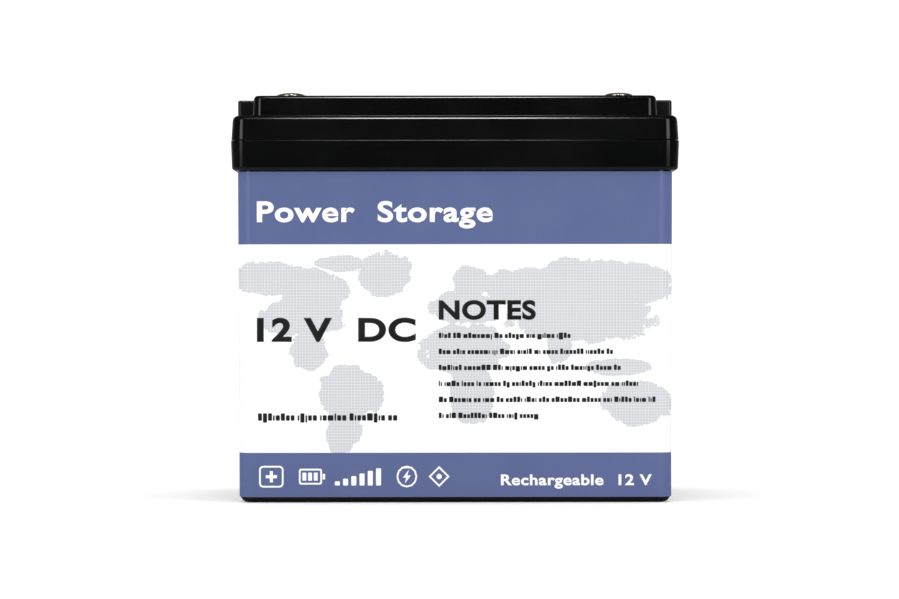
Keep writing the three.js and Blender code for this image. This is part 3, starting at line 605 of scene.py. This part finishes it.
def build_case():
    rings = []
    for inset, drop in reversed(fillet(BASE_FILLET)):
        rings.append(rectangle(*wall_half(0), WALL_RADIUS, drop, -inset))
    rings.append(wall_ring(COLLAR_BASE))
    for inset, drop in reversed(fillet(COLLAR_FILLET)):
        rings.append(collar_ring(COLLAR_BASE + drop, -inset - COLLAR_UNDERCUT))
    for inset, drop in fillet(COLLAR_EDGE, 4):
        rings.append(collar_ring(PARTING - drop, -inset))
    rings.append(collar_ring(PARTING, -GROOVE_INSET))
    rings.append(collar_ring(GROOVE_FLOOR, -GROOVE_INSET))
    rings.append(collar_ring(GROOVE_FLOOR, -GROOVE_INSET - GROOVE_WIDTH))
    rings.append(collar_ring(PARTING, -GROOVE_INSET - GROOVE_WIDTH))
    rings.append(rectangle(*wall_half(COLLAR_BASE), WALL_RADIUS, PARTING, -WALL))
    rings.append(wall_ring(COLLAR_BASE, -WALL))
    for inset, drop in fillet(FLOOR_FILLET, 4):
        rings.append(rectangle(*wall_half(WALL), WALL_RADIUS, WALL + drop, -WALL - inset))
    skin = Skin()
    first, last = skin.loft(rings)
    skin.cap(first)
    skin.cap(last)
    return dress(skin.piece("case_body"), SHELL, "shell", "case", "case_shell")


# ---------------------------------------------------------------- lid


def middle_of(node):
    """Where a node's box has its middle, in X and Y."""
    low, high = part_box(node)
    return ((low + high) / 2).to_2d()


TERMINALS = {pole: middle_of(f"terminal_screw_{pole}") for pole in ("positive", "negative")}


def deck_ring(z, end_grow=0.0, notch_grow=0.0):
    """The deck's outline: a rounded rectangle with a notch in each end for a handle."""
    a, b = DECK_HALF_X + end_grow, DECK_HALF_Y + end_grow
    c, d = NOTCH_X + notch_grow, NOTCH_HALF - notch_grow
    outer = DECK_RADIUS + end_grow
    mouth = NOTCH_MOUTH_RADIUS + min(end_grow, notch_grow)
    inner = NOTCH_CORNER_RADIUS - notch_grow
    right = [(a, -b, outer), (a, -d, mouth), (c, -d, inner), (c, d, inner), (a, d, mouth), (a, b, outer)]
    left = [(-x, -y, radius) for x, y, radius in right]
    return outline(right + left, z, 8)


def build_lid():
    skin = Skin()
    base = PARTING + GAP
    outer = []
    for grow, z in ((-GROOVE_INSET - GAP, TONGUE_END), (-GROOVE_INSET - GAP, base)):
        outer.append(collar_ring(z, grow))
    for inset, drop in reversed(fillet(RIM_FOOT, 3)):
        outer.append(collar_ring(base + drop, -RIM_INSET - inset))
    for inset, drop in fillet(RIM_FILLET):
        outer.append(collar_ring(SHOULDER - drop, -RIM_TOP_INSET - inset))
    tongue_tip, rim_top = skin.loft(outer)

    sides = []
    for out, rise in flare(DECK_FOOT):
        sides.append(deck_ring(SHOULDER + rise, DECK_DRAFT + out, out))
    for (inset, drop), (notch_inset, _) in zip(fillet(DECK_FILLET), fillet(NOTCH_FILLET)):
        sides.append(deck_ring(DECK_TOP - drop, -inset, -notch_inset))
    deck_foot, deck_edge = skin.loft(sides)
    skin.fill(rim_top, deck_foot)

    inside = [collar_ring(z, -GROOVE_INSET - GROOVE_WIDTH + GAP) for z in (TONGUE_END, RIM_CEILING)]
    tongue_inner, rim_ceiling = skin.loft(inside)
    skin.strip(tongue_tip, tongue_inner)
    hollow = [deck_ring(z, -WALL, -TRUNNION_WALL) for z in (RIM_CEILING, DECK_CEILING)]
    hollow_foot, hollow_top = skin.loft(hollow)
    skin.fill(rim_ceiling, hollow_foot)

    mouths, bosses = [], []
    for centre in TERMINALS.values():
        well = [circle(centre, WELL_RADIUS + out, DECK_TOP - sunk) for out, sunk in flare(WELL_EDGE, 5)]
        well += [
            circle(centre, WELL_RADIUS, WELL_FLOOR),
            circle(centre, INSERT_POCKET, WELL_FLOOR),
            circle(centre, INSERT_POCKET, INSERT_POCKET_FLOOR),
            circle(centre, INSERT_HOLE, INSERT_POCKET_FLOOR),
            circle(centre, INSERT_HOLE, BOSS_BOTTOM),
            circle(centre, BOSS_RADIUS, BOSS_BOTTOM),
            circle(centre, BOSS_RADIUS, DECK_CEILING),
        ]
        mouth, boss = skin.loft(well)
        mouths.append(mouth)
        bosses.append(boss)
    skin.fill(deck_edge, *mouths)
    skin.fill(hollow_top, *bosses)
    lid = skin.piece("lid_moulding")
    holes = []
    for side_x in (-1, 1):
        for side_y in (-1, 1):
            wall_middle = NOTCH_HALF + TRUNNION_HOLE_DEPTH / 2
            centre = Vector((side_x * PIVOT.x, side_y * wall_middle, PIVOT.z))
            holes.append(rod(centre, TRUNNION_HOLE, TRUNNION_HOLE_DEPTH + 2 * DECK_FOOT))
    combine(lid, holes, "DIFFERENCE")
    return dress(lid, SHELL, "shell", "case", "lid")


# ---------------------------------------------------------------- handles


def in_order(mesh):
    """The same mesh with its points and faces in a fixed order, since a bevel's order can vary."""
    faces = []
    for face in mesh.faces:
        corners = [tuple(vert.co) for vert in face.verts]
        start = corners.index(min(corners))
        faces.append(corners[start:] + corners[:start])
    ordered = bmesh.new()
    verts = {place: ordered.verts.new(place) for place in sorted(set(sum(faces, [])))}
    for face in sorted(faces):
        ordered.faces.new([verts[corner] for corner in face])
    mesh.free()
    return ordered


def build_handle(name, body, node, side):
    """A U-shaped handle. It is made for the right end, and turned half round for the left."""
    half, inner, thick = HANDLE_HALF, HANDLE_HALF - ARM_WIDTH, HANDLE_THICK / 2
    grip = HANDLE_REACH - GRIP_WIDTH
    arc_steps = 18
    mesh = bmesh.new()
    arcs, corners = {}, {}
    for y in (-half, -inner, inner, half):
        reach = HANDLE_REACH if abs(y) == half else grip
        arcs[y] = []
        for step in range(arc_steps + 1):
            angle = step / arc_steps * math.pi
            arcs[y].append(mesh.verts.new((-thick * math.sin(angle), y, thick * math.cos(angle))))
        corners[y] = [mesh.verts.new((reach, y, z)) for z in (thick, -thick)]
    for y in arcs:
        mesh.faces.new([*arcs[y], corners[y][1], corners[y][0]])
    for low, high in ((-half, -inner), (inner, half)):
        for first, second in zip(range(arc_steps), range(1, arc_steps + 1)):
            mesh.faces.new((arcs[low][first], arcs[low][second], arcs[high][second], arcs[high][first]))
    for level in (0, 1):
        end = level * arc_steps
        top = [arcs[-half][end], corners[-half][level], corners[half][level], arcs[half][end]]
        top += [arcs[inner][end], corners[inner][level], corners[-inner][level], arcs[-inner][end]]
        mesh.faces.new(top)
    for y in (half, inner):
        mesh.faces.new((corners[-y][0], corners[-y][1], corners[y][1], corners[y][0]))
    bmesh.ops.recalc_face_normals(mesh, faces=mesh.faces)

    def upright(edge):
        first, second = (vert.co for vert in edge.verts)
        return abs(first.x - second.x) < 1e-6 and abs(first.y - second.y) < 1e-6

    def sharp(edge):
        return len(edge.link_faces) == 2 and edge.calc_face_angle() > math.radians(35)

    for chosen, radius, segments in ((upright, HANDLE_CORNER, 6), (sharp, HANDLE_EDGE, 4)):
        edges = [edge for edge in mesh.edges if chosen(edge)]
        bmesh.ops.bevel(mesh, geom=edges, offset=radius, segments=segments, profile=0.5, affect="EDGES")
    handle = finished(in_order(mesh), name)
    pins = []
    for side_y in (-1, 1):
        centre = Vector((0, side_y * (half + TRUNNION_OUT), 0))
        pins.append(rod(centre, TRUNNION_RADIUS, TRUNNION_LENGTH))
    combine(handle, pins, "UNION")
    turn = Matrix.Rotation(0 if side > 0 else math.pi, 4, "Z")
    handle.data.transform(Matrix.Translation((side * PIVOT.x, 0, PIVOT.z)) @ turn)
    return dress(handle, HANDLE_BLACK, "handle", body, node)


# ---------------------------------------------------------------- terminals


def rounded_profile(points, radius, steps=4):
    """A closed (radius, height) outline of square corners, each rounded."""
    ring = outline([(x, z, radius) for x, z in points], 0, steps)
    return [(x, z) for x, z, _ in ring]


def build_screw(pole):
    name = f"terminal_screw_{pole}"
    low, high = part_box(name)
    head_radius = (high.x - low.x) / 2
    head_height = high.z - low.z - SCREW_LENGTH
    dome_steps = 14
    profile = [(0, -NECK_DEPTH), (NECK_RADIUS, -NECK_DEPTH), (NECK_RADIUS, 0)]
    profile += [(head_radius - 0.25 * MM, 0), (head_radius, 0.2 * MM)]
    for step in range(dome_steps):
        angle = step / dome_steps * math.pi / 2
        height = HEAD_RIM + (head_height - HEAD_RIM) * math.sin(angle)
        profile.append((head_radius * math.cos(angle), height))
    profile.append((0, head_height))
    head = turned(f"screw_head_{pole}", profile)
    combine(head, [recess_blade(head_height, turn) for turn in (0, math.pi / 2)], "DIFFERENCE")
    combine(head, [threaded_shank()], "UNION")
    centre = TERMINALS[pole]
    head.data.transform(Matrix.Translation((centre.x, centre.y, high.z - head_height)))
    return dress(head, SCREW_METAL, "screw_finish", f"screw_{pole}", name)


def recess_blade(head_height, turn):
    """One blade of the cross that is cut into a screw's head, narrower towards its foot."""
    blade = bmesh.new()
    bmesh.ops.create_cube(blade, size=1)
    for vert in blade.verts:
        taper = 1.0 if vert.co.z > 0 else 0.62
        vert.co.x *= RECESS_LENGTH * taper
        vert.co.y *= RECESS_WIDTH * (0.7 + 0.3 * taper)
        vert.co.z = head_height + (MM if vert.co.z > 0 else -RECESS_DEPTH)
    bmesh.ops.rotate(blade, verts=blade.verts, matrix=Matrix.Rotation(turn + RECESS_TURN, 3, "Z"))
    return finished(blade, "recess")


def threaded_shank():
    """A helical thread, smaller over its first turns, that hangs down from the origin."""
    thread = bmesh.new()
    around, samples = 48, 8
    levels = int(SCREW_LENGTH / SCREW_PITCH * samples)
    rings = []
    for level in range(levels + 1):
        z = -SCREW_LENGTH + SCREW_LENGTH * level / levels
        taper = min(1.0, 0.55 + level / (2.5 * samples))
        ring = []
        for step in range(around):
            angle = 2 * math.pi * step / around
            phase = (z / SCREW_PITCH - step / around) % 1.0
            depth = THREAD_DEPTH * abs(2 * phase - 1)
            radius = (SCREW_RADIUS - depth) * (0.86 + 0.14 * taper)
            ring.append(thread.verts.new((radius * math.cos(angle), radius * math.sin(angle), z)))
        rings.append(ring)
    for first, second in zip(rings, rings[1:]):
        for i in range(around):
            after = (i + 1) % around
            thread.faces.new((first[i], first[after], second[after], second[i]))
    thread.faces.new(rings[0])
    thread.faces.new(rings[-1])
    return finished(thread, "shank", 60)


def build_washer(pole):
    name = f"terminal_washer_{pole}"
    low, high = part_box(name)
    outer = (high.x - low.x) / 2
    corners = [(WASHER_HOLE, low.z), (outer, low.z), (outer, high.z), (WASHER_HOLE, high.z)]
    washer = turned(f"washer_{pole}", rounded_profile(corners, WASHER_EDGE), closed=True)
    washer.data.transform(Matrix.Translation(TERMINALS[pole].to_3d()))
    return dress(washer, SCREW_METAL, "screw_finish", f"washer_{pole}", name)


def build_ring(pole, material, slot):
    name = f"polarity_ring_{pole}"
    low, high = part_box(name)
    outer = (high.x - low.x) / 2
    inner = outer - RING_WIDTH
    corners = [(inner, low.z), (outer, low.z), (outer, high.z), (inner, high.z)]
    ring = turned(f"ring_{pole}", rounded_profile(corners, RING_EDGE), closed=True)
    ring.data.transform(Matrix.Translation(TERMINALS[pole].to_3d()))
    return dress(ring, material, slot, "case", name)


def build_insert(pole):
    name = f"terminal_insert_{pole}"
    low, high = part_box(name)
    flange = (high.x - low.x) / 2
    chamfer = INSERT_CHAMFER
    flange_base = high.z - INSERT_FLANGE
    profile = [
        (0, low.z + LUG_BORE_DEPTH),
        (LUG_BORE, low.z + LUG_BORE_DEPTH),
        (LUG_BORE, low.z + chamfer),
        (LUG_BORE + chamfer, low.z),
        (INSERT_BARREL - chamfer, low.z),
        (INSERT_BARREL, low.z + chamfer),
        (INSERT_BARREL, flange_base),
        (flange - chamfer, flange_base),
        (flange, flange_base + chamfer),
        (flange, high.z - chamfer),
        (flange - chamfer, high.z),
        (INSERT_BORE + chamfer, high.z),
        (INSERT_BORE, high.z - chamfer),
        (INSERT_BORE, high.z - INSERT_BORE_DEPTH),
        (0, high.z - INSERT_BORE_DEPTH),
    ]
    insert = turned(f"insert_{pole}", profile)
    insert.data.transform(Matrix.Translation(TERMINALS[pole].to_3d()))
    return dress(insert, INSERT_BRASS, "brass", "case", name)


# ---------------------------------------------------------------- label and its print


def label_path(z, lift):
    """From the label's left end, round both front corners, to its right end."""
    half_x, half_y = wall_half(z)
    x, y, radius = half_x + lift, half_y + lift, WALL_RADIUS + lift
    back = -wall_half(COLLAR_BASE)[1] + LABEL_WRAP
    points = [(-x, back, z)]
    for side, start in ((-1, math.pi), (1, 1.5 * math.pi)):
        for step in range(CORNER_STEPS + 1):
            angle = start + step / CORNER_STEPS * math.pi / 2
            px = side * (x - radius) + radius * math.cos(angle)
            points.append((px, -(y - radius) + radius * math.sin(angle), z))
    return points + [(x, back, z)]


def build_label():
    """A thin sheet whose faces are blue above and below, and white between."""
    levels = [LABEL_BASE, LOWER_BAND_TOP, UPPER_BAND_BASE, LABEL_TOP]
    mesh = bmesh.new()
    outer = [[mesh.verts.new(point) for point in label_path(z, LABEL_FACE)] for z in levels]
    inner = [[mesh.verts.new(point) for point in label_path(z, LABEL_LIFT)] for z in levels]
    count = len(outer[0])
    for level in range(len(levels) - 1):
        white = 1 if level == 1 else 0
        for i in range(count - 1):
            for sheet in (outer, inner):
                below, above = sheet[level], sheet[level + 1]
                corners = (below[i], below[i + 1], above[i + 1], above[i])
                mesh.faces.new(corners).material_index = white
        for i in (0, count - 1):
            corners = (outer[level][i], inner[level][i], inner[level + 1][i], outer[level + 1][i])
            mesh.faces.new(corners).material_index = white
    for level in (0, len(levels) - 1):
        for i in range(count - 1):
            mesh.faces.new((outer[level][i], outer[level][i + 1], inner[level][i + 1], inner[level][i]))
    sheet = finished(mesh, "label_sheet")
    return dress(sheet, [LABEL_BLUE, LABEL_WHITE], "label", "case", "front_label")


def print_on_label(name, flat, material):
    """Stands a flat mesh, drawn in (x, height), on the label's front face."""
    for vert in flat.vertices:
        across, up, out = vert.co
        face = -(wall_half(up)[1] + LABEL_FACE + INK_LIFT)
        vert.co = (across + PRINT_X, face - (INK_THICK if out > 0 else 0), up)
    flat.flip_normals()
    piece = bpy.data.objects.new(name, flat)
    bpy.context.scene.collection.objects.link(piece)
    return dress(piece, material, "label", "case")


def flat_mesh(curve):
    """The mesh of a filled curve or a text, which is then removed."""
    drawn = bpy.data.objects.new("drawn", curve)
    bpy.context.scene.collection.objects.link(drawn)
    graph = bpy.context.evaluated_depsgraph_get()
    mesh = bpy.data.meshes.new_from_object(drawn.evaluated_get(graph))
    bpy.data.objects.remove(drawn)
    mesh.materials.clear()
    return mesh


def filled(loops, thick=INK_THICK, edge=0.0):
    """A flat shape from closed loops of (x, y) points. A loop inside another is a hole."""
    curve = bpy.data.curves.new("shape", "CURVE")
    curve.dimensions = "2D"
    curve.fill_mode = "BOTH"
    curve.extrude = thick / 2
    curve.bevel_depth = edge
    curve.bevel_resolution = 3
    curve.offset = -edge
    for loop in loops:
        spline = curve.splines.new("POLY")
        spline.points.add(len(loop) - 1)
        for point, (x, y) in zip(spline.points, loop):
            point.co = (x, y, 0, 1)
        spline.use_cyclic_u = True
    return flat_mesh(curve)


FONT_CAP_HEIGHT = 0.682


def lettering(text, left, right, base, cap_height, weight):
    """Generic words and numbers in Blender's own font, made bolder and fitted between two ends."""
    curve = bpy.data.curves.new("text", "FONT")
    curve.body = text
    curve.size = (cap_height - 2 * weight) / FONT_CAP_HEIGHT
    curve.space_character = 1.08
    curve.bevel_depth = weight
    curve.bevel_resolution = 0
    curve.extrude = INK_THICK / 2
    mesh = flat_mesh(curve)
    lowest = min(vert.co.x for vert in mesh.vertices)
    highest = max(vert.co.x for vert in mesh.vertices)
    fit = Matrix.Scale((right - left) / (highest - lowest), 4, (1, 0, 0))
    move = Matrix.Translation((left, base + weight, 0))
    mesh.transform(move @ fit @ Matrix.Translation((-lowest, 0, 0)))
    return mesh


def bar(left, low, right, high, radius):
    """The loop of a rectangle with round corners."""
    centre_x, centre_y = (left + right) / 2, (low + high) / 2
    x, y = (right - left) / 2, (high - low) / 2
    ring = outline([(x, -y, radius), (x, y, radius), (-x, y, radius), (-x, -y, radius)], 0, 3)
    return [(centre_x + px, centre_y + py) for px, py, _ in ring]


def disc(x, y, radius, steps=28):
    return [(px, py) for px, py, _ in circle(Vector((x, y)), radius, 0, steps)]


def greeked(left, right, base, x_height, chance):
    """A line of small print as bars the size of letters, grouped like words."""
    loops = []
    start = left
    tall, deep = 1.36 * x_height, 0.36 * x_height
    while start < right - 2 * x_height:
        for _ in range(chance.randint(2, 8)):
            end = start + x_height * chance.choice((0.3, 0.68, 0.72, 0.75, 1.05))
            if end > right:
                break
            top = base + (tall if start == left or chance.random() < 0.25 else x_height)
            bottom = base - (deep if chance.random() < 0.08 else 0)
            loops.append(bar(start, bottom, end, top, 0.16 * x_height))
            start = end + 0.2 * x_height
        start += 0.4 * x_height
    return loops


# The print's lines are (words, left, right, base, capital height, how much bolder), in millimetres.
WHITE_LINES = [
    ("Power  Storage", -101.8, 18.5, 143.1, 10.7, 0.42),
    ("Rechargeable  12 V", 22.5, 99.5, 8.8, 5.6, 0.24),
]
BLACK_LINES = [
    ("12 V  DC", -101.8, -20.8, 82.1, 12.2, 0.6),
    ("NOTES", -9.1, 40.4, 93.3, 9.9, 0.5),
]
SMALL_PRINT_LEFT = -9.1
SMALL_PRINT_TOP = 83.9
SMALL_PRINT_PITCH = 8.16
SMALL_PRINT_RIGHT_ENDS = [59.2, 82.7, 87.3, 96.9, 104.1, 43.4]
SMALL_PRINT_X_HEIGHT = 2.05
SMALL_PRINT_SEED = 7
BOLD_PRINT = (-101.3, -23.9, 41.9, 2.75)  # left, right, base and x-height


def build_print():
    inks = (("white", INK_WHITE, WHITE_LINES), ("black", INK_BLACK, BLACK_LINES))
    for colour, material, lines in inks:
        for number, (text, *sizes) in enumerate(lines, start=1):
            flat = lettering(text, *(size * MM for size in sizes))
            print_on_label(f"{colour}_line_{number}", flat, material)
    chance = random.Random(SMALL_PRINT_SEED)
    for number, right in enumerate(SMALL_PRINT_RIGHT_ENDS):
        base = SMALL_PRINT_TOP - number * SMALL_PRINT_PITCH
        sizes = (SMALL_PRINT_LEFT, right, base, SMALL_PRINT_X_HEIGHT)
        loops = greeked(*(size * MM for size in sizes), chance)
        print_on_label(f"small_print_{number + 1}", filled(loops), INK_BLACK)
    bold = greeked(*(size * MM for size in BOLD_PRINT), chance)
    print_on_label("bold_print", filled(bold), INK_BLACK)
    print_on_label("pictograms", filled(pictograms()), INK_WHITE)


def plus_sign(arm, line):
    """The loop of a plus: how far it reaches, and half how thick it is."""
    loop = [(-line, -arm), (line, -arm), (line, -line), (arm, -line), (arm, line), (line, line)]
    return loop + [(-x, -y) for x, y in loop]


def moved(loop, x, y):
    return [(x + px, y + py) for px, py in loop]


# Where the pictograms begin, how low and high they reach, and the thickness of their outlines.
PLUS_LEFT = -100.8 * MM
BATTERY_LEFT = -80.5 * MM
CHART_LEFT = -62.2 * MM
FLASH_LEFT = -30.7 * MM
DIAMOND_LEFT = -14.2 * MM
SIGN_LOW = 7.8 * MM
SIGN_HIGH = 18.9 * MM
SIGN_MIDDLE = (SIGN_LOW + SIGN_HIGH) / 2
SIGN_LINE = 0.9 * MM


def framed(left, width, radius):
    """The two loops of a round-cornered frame as high as the signs."""
    line, right = SIGN_LINE, left + width
    outer = bar(left, SIGN_LOW, right, SIGN_HIGH, radius)
    inner = bar(left + line, SIGN_LOW + line, right - line, SIGN_HIGH - line, radius - line * 0.8)
    return [outer, inner[::-1]]


def battery_sign():
    left, low, high = BATTERY_LEFT, SIGN_LOW + 1.5 * MM, SIGN_HIGH - 1.5 * MM
    right, line = left + 11.8 * MM, SIGN_LINE
    loops = [bar(left, low, right, high, 1 * MM)]
    loops.append(bar(left + line, low + line, right - line, high - line, 0.6 * MM)[::-1])
    stub = right + 0.3 * MM
    loops.append(bar(stub, SIGN_MIDDLE - 1.5 * MM, stub + 1.3 * MM, SIGN_MIDDLE + 1.5 * MM, 0.4 * MM))
    for step in range(3):
        start = left + 1.8 * MM + step * 2.9 * MM
        loops.append(bar(start, low + 2 * MM, start + 2 * MM, high - 2 * MM, 0.3 * MM))
    return loops


def chart_sign():
    loops = []
    base = SIGN_LOW + 1 * MM
    for step, share in enumerate((0.25, 0.4, 0.55, 0.7, 0.85, 1.0)):
        start = CHART_LEFT + step * 4.2 * MM
        loops.append(bar(start, base, start + 2.6 * MM, base + 8.8 * MM * share, 0.5 * MM))
    return loops


def diamond_sign():
    loops = []
    middle = DIAMOND_LEFT + 5.2 * MM
    for reach, way in ((5.4 * MM, 1), (4.1 * MM, -1)):
        corners = [(0, -reach), (way * reach, 0), (0, reach), (-way * reach, 0)]
        loops.append(moved(corners, middle, SIGN_MIDDLE))
    loops.append(disc(middle, SIGN_MIDDLE, 1.4 * MM))
    return loops


def pictograms():
    """Plain signs of the maker's own: a plus, a battery, a bar chart, a flash and a diamond."""
    plus = moved(plus_sign(2.88 * MM, 0.81 * MM), PLUS_LEFT + 6.25 * MM, SIGN_MIDDLE)
    half_flash = [(1.1 * MM, 3.6 * MM), (-2.1 * MM, -0.6 * MM), (-0.3 * MM, -0.6 * MM)]
    flash = moved(half_flash + [(-x, -y) for x, y in half_flash], FLASH_LEFT + 5.25 * MM, SIGN_MIDDLE)
    loops = framed(PLUS_LEFT, 12.5 * MM, 2 * MM) + [plus]
    loops += battery_sign() + chart_sign()
    loops += framed(FLASH_LEFT, 10.5 * MM, 5.2 * MM) + [flash]
    return loops + diamond_sign()


# ---------------------------------------------------------------- moulded polarity marks


def build_marks():
    """A raised plus and minus on the deck, inward of the terminals."""
    minus = bar(-MARK_ARM, -MARK_LINE, MARK_ARM, MARK_LINE, MARK_LINE * 0.6)
    shapes = {"positive": plus_sign(MARK_ARM, MARK_LINE), "negative": minus}
    for pole, centre in TERMINALS.items():
        mesh = filled([shapes[pole]], MARK_HEIGHT, MARK_EDGE)
        x = centre.x - math.copysign(MARK_INWARD, centre.x)
        z = DECK_TOP + MARK_HEIGHT / 2 - MARK_SUNK
        mesh.transform(Matrix.Translation((x, centre.y, z)))
        piece = bpy.data.objects.new(f"moulded_mark_{pole}", mesh)
        bpy.context.scene.collection.objects.link(piece)
        smooth(piece)
        dress(piece, SHELL, "shell", "case")


# ---------------------------------------------------------------- the object

build_case()
build_lid()
build_handle("handle_grip_right", "handle_right", "handle_right", 1)
build_handle("handle_grip_left", "handle_left", "handle_left", -1)
for pole in TERMINALS:
    build_insert(pole)
    build_washer(pole)
    build_screw(pole)
build_ring("positive", RING_RED, "ring_red")
build_ring("negative", RING_BLACK, "ring_black")
build_label()
build_print()
build_marks()

inner_materials = {slot: simple_look(*values) for slot, values in INNER_LOOKS.items()}
for row in frame["record"]["subparts"]:
    material = inner_materials.get(row["material_slot"])
    if material:
        for slot in frame["nodes"][row["node"]].material_slots:
            slot.link = "OBJECT"
            slot.material = material

# ---------------------------------------------------------------- camera

IMAGE_WIDTH = 899
SENSOR = 0.036
CAMERA_DISTANCE = 1.6
CAMERA_HEIGHT = 0.1036
CAMERA_X = -0.0029
PIXELS_PER_RADIAN = 3145.5
CAMERA_ROLL = math.radians(0.065)

camera_data = bpy.data.cameras.new("camera")
camera_data.sensor_width = SENSOR * 1000
camera_data.lens = PIXELS_PER_RADIAN * SENSOR * 1000 / IMAGE_WIDTH
camera_data.clip_start = 0.01
camera = bpy.data.objects.new("camera", camera_data)
camera.location = (CAMERA_X, -HALF_Y - CAMERA_DISTANCE, CAMERA_HEIGHT)
camera.rotation_euler = (math.pi / 2, CAMERA_ROLL, 0)
bpy.context.scene.collection.objects.link(camera)
bpy.context.scene.camera = camera

# ---------------------------------------------------------------- floor and light

FLOOR_NEAR = (-0.9, -0.2)  # Y, from where the floor's reflection is dark to where it is brighter
FLOOR_LIFT = 0.22
PLAIN_WORLD = 1.18
MIRRORED_BY_Y = (0.2, 0.7, 0, 0.27)  # between which Y of a direction, and the strengths there
MIRRORED_BY_Z = (0.2, 0.5, 1, 0.1)  # between which Z, and the shares of that strength there
MIRRORED_LEAST = 0.03
SIDE_LIGHT_AWAY = 1.74
SIDE_LIGHTS = ((-1, 36, 0.62), (1, 30, 0.76))  # which side, degrees from the front, and width
TOP_LIGHT_PLACE = (-0.008, -0.77, SHOULDER + 1)
LID_FRONT = (0, -HALF_Y, SHOULDER)


def build_floor():
    """Pale, with its shadows lifted a little. Its reflection in the battery is dark, save close by."""
    mesh = bmesh.new()
    bmesh.ops.create_grid(mesh, x_segments=4, y_segments=4, size=6)
    floor = finished(mesh, "floor")
    look = Look("pale_floor", specular_ior_level=0.2)
    cloud = look.noise(1.4, 3)
    pale = look.mix(look.spread(cloud, 0.3, 0.7), grey(0.9), grey(0.92))
    mirrored = look.nodes.new("ShaderNodeLightPath").outputs["Is Glossy Ray"]
    apart = look.nodes.new("ShaderNodeSeparateXYZ")
    look.links.new(look.place, apart.inputs[0])
    near = look.spread(apart.outputs["Y"], *FLOOR_NEAR)
    dim = look.mix(near, grey(0.015), grey(0.24))
    look.colour(look.mix(mirrored, pale, dim))
    look.roughness(look.spread(cloud, 0.3, 0.7, 0.7, 0.8))
    look.set("Emission Color", (1, 1, 1, 1))
    lift = look.math("MULTIPLY", look.math("SUBTRACT", 1, mirrored), FLOOR_LIFT)
    look.links.new(lift, look.shader.inputs["Emission Strength"])
    floor.data.materials.append(look.material)


def softbox(name, place, target, width, height, brightness):
    """A light seen only as a reflection. The world lights every matt surface evenly."""
    light = bpy.data.lights.new(name, "AREA")
    light.shape = "RECTANGLE"
    light.size = width
    light.size_y = height
    light.energy = brightness * math.pi * width * height
    holder = bpy.data.objects.new(name, light)
    holder.visible_diffuse = False
    holder.location = place
    holder.rotation_euler = (Vector(target) - Vector(place)).to_track_quat("-Z", "Y").to_euler()
    bpy.context.scene.collection.objects.link(holder)


def build_world():
    """White all round for the eye and for matt surfaces. Reflections see it dim, save low and behind."""
    world = bpy.data.worlds.new("studio")
    bpy.context.scene.world = world
    world.use_nodes = True
    nodes, links = world.node_tree.nodes, world.node_tree.links
    nodes.clear()
    place = nodes.new("ShaderNodeTexCoord")
    apart = nodes.new("ShaderNodeSeparateXYZ")
    links.new(place.outputs["Generated"], apart.inputs[0])

    def ramp(value, *numbers):
        """Maps the first two numbers to the last two, and holds the value there beyond."""
        node = nodes.new("ShaderNodeMapRange")
        links.new(value, node.inputs["Value"])
        for socket, number in zip(node.inputs[1:5], numbers):
            socket.default_value = number
        return node.outputs["Result"]

    level = nodes.new("ShaderNodeMath")
    level.operation = "MULTIPLY_ADD"
    links.new(ramp(apart.outputs["Y"], *MIRRORED_BY_Y), level.inputs[0])
    links.new(ramp(apart.outputs["Z"], *MIRRORED_BY_Z), level.inputs[1])
    level.inputs[2].default_value = MIRRORED_LEAST
    mirrored, plain = nodes.new("ShaderNodeBackground"), nodes.new("ShaderNodeBackground")
    for background in (mirrored, plain):
        background.inputs["Color"].default_value = (1, 1, 1, 1)
    links.new(level.outputs[0], mirrored.inputs["Strength"])
    plain.inputs["Strength"].default_value = PLAIN_WORLD
    path = nodes.new("ShaderNodeLightPath")
    either = nodes.new("ShaderNodeMixShader")
    links.new(path.outputs["Is Glossy Ray"], either.inputs["Fac"])
    links.new(plain.outputs[0], either.inputs[1])
    links.new(mirrored.outputs[0], either.inputs[2])
    output = nodes.new("ShaderNodeOutputWorld")
    links.new(either.outputs[0], output.inputs["Surface"])


build_floor()
build_world()
for side, turn, width in SIDE_LIGHTS:
    angle = math.radians(turn)
    x, y = side * SIDE_LIGHT_AWAY * math.sin(angle), -SIDE_LIGHT_AWAY * math.cos(angle)
    for name, z, height, brightness in (("upper", 0.8, 0.9, 2.35), ("lower", 0.25, 0.2, 2.0)):
        softbox(f"{name}_softbox_{side}", (x, y, z), (0, 0, z), width, height, brightness)
softbox("top_softbox", TOP_LIGHT_PLACE, LID_FRONT, 0.22, 0.4, 23)
bpy.context.scene.view_settings.view_transform = "Standard"
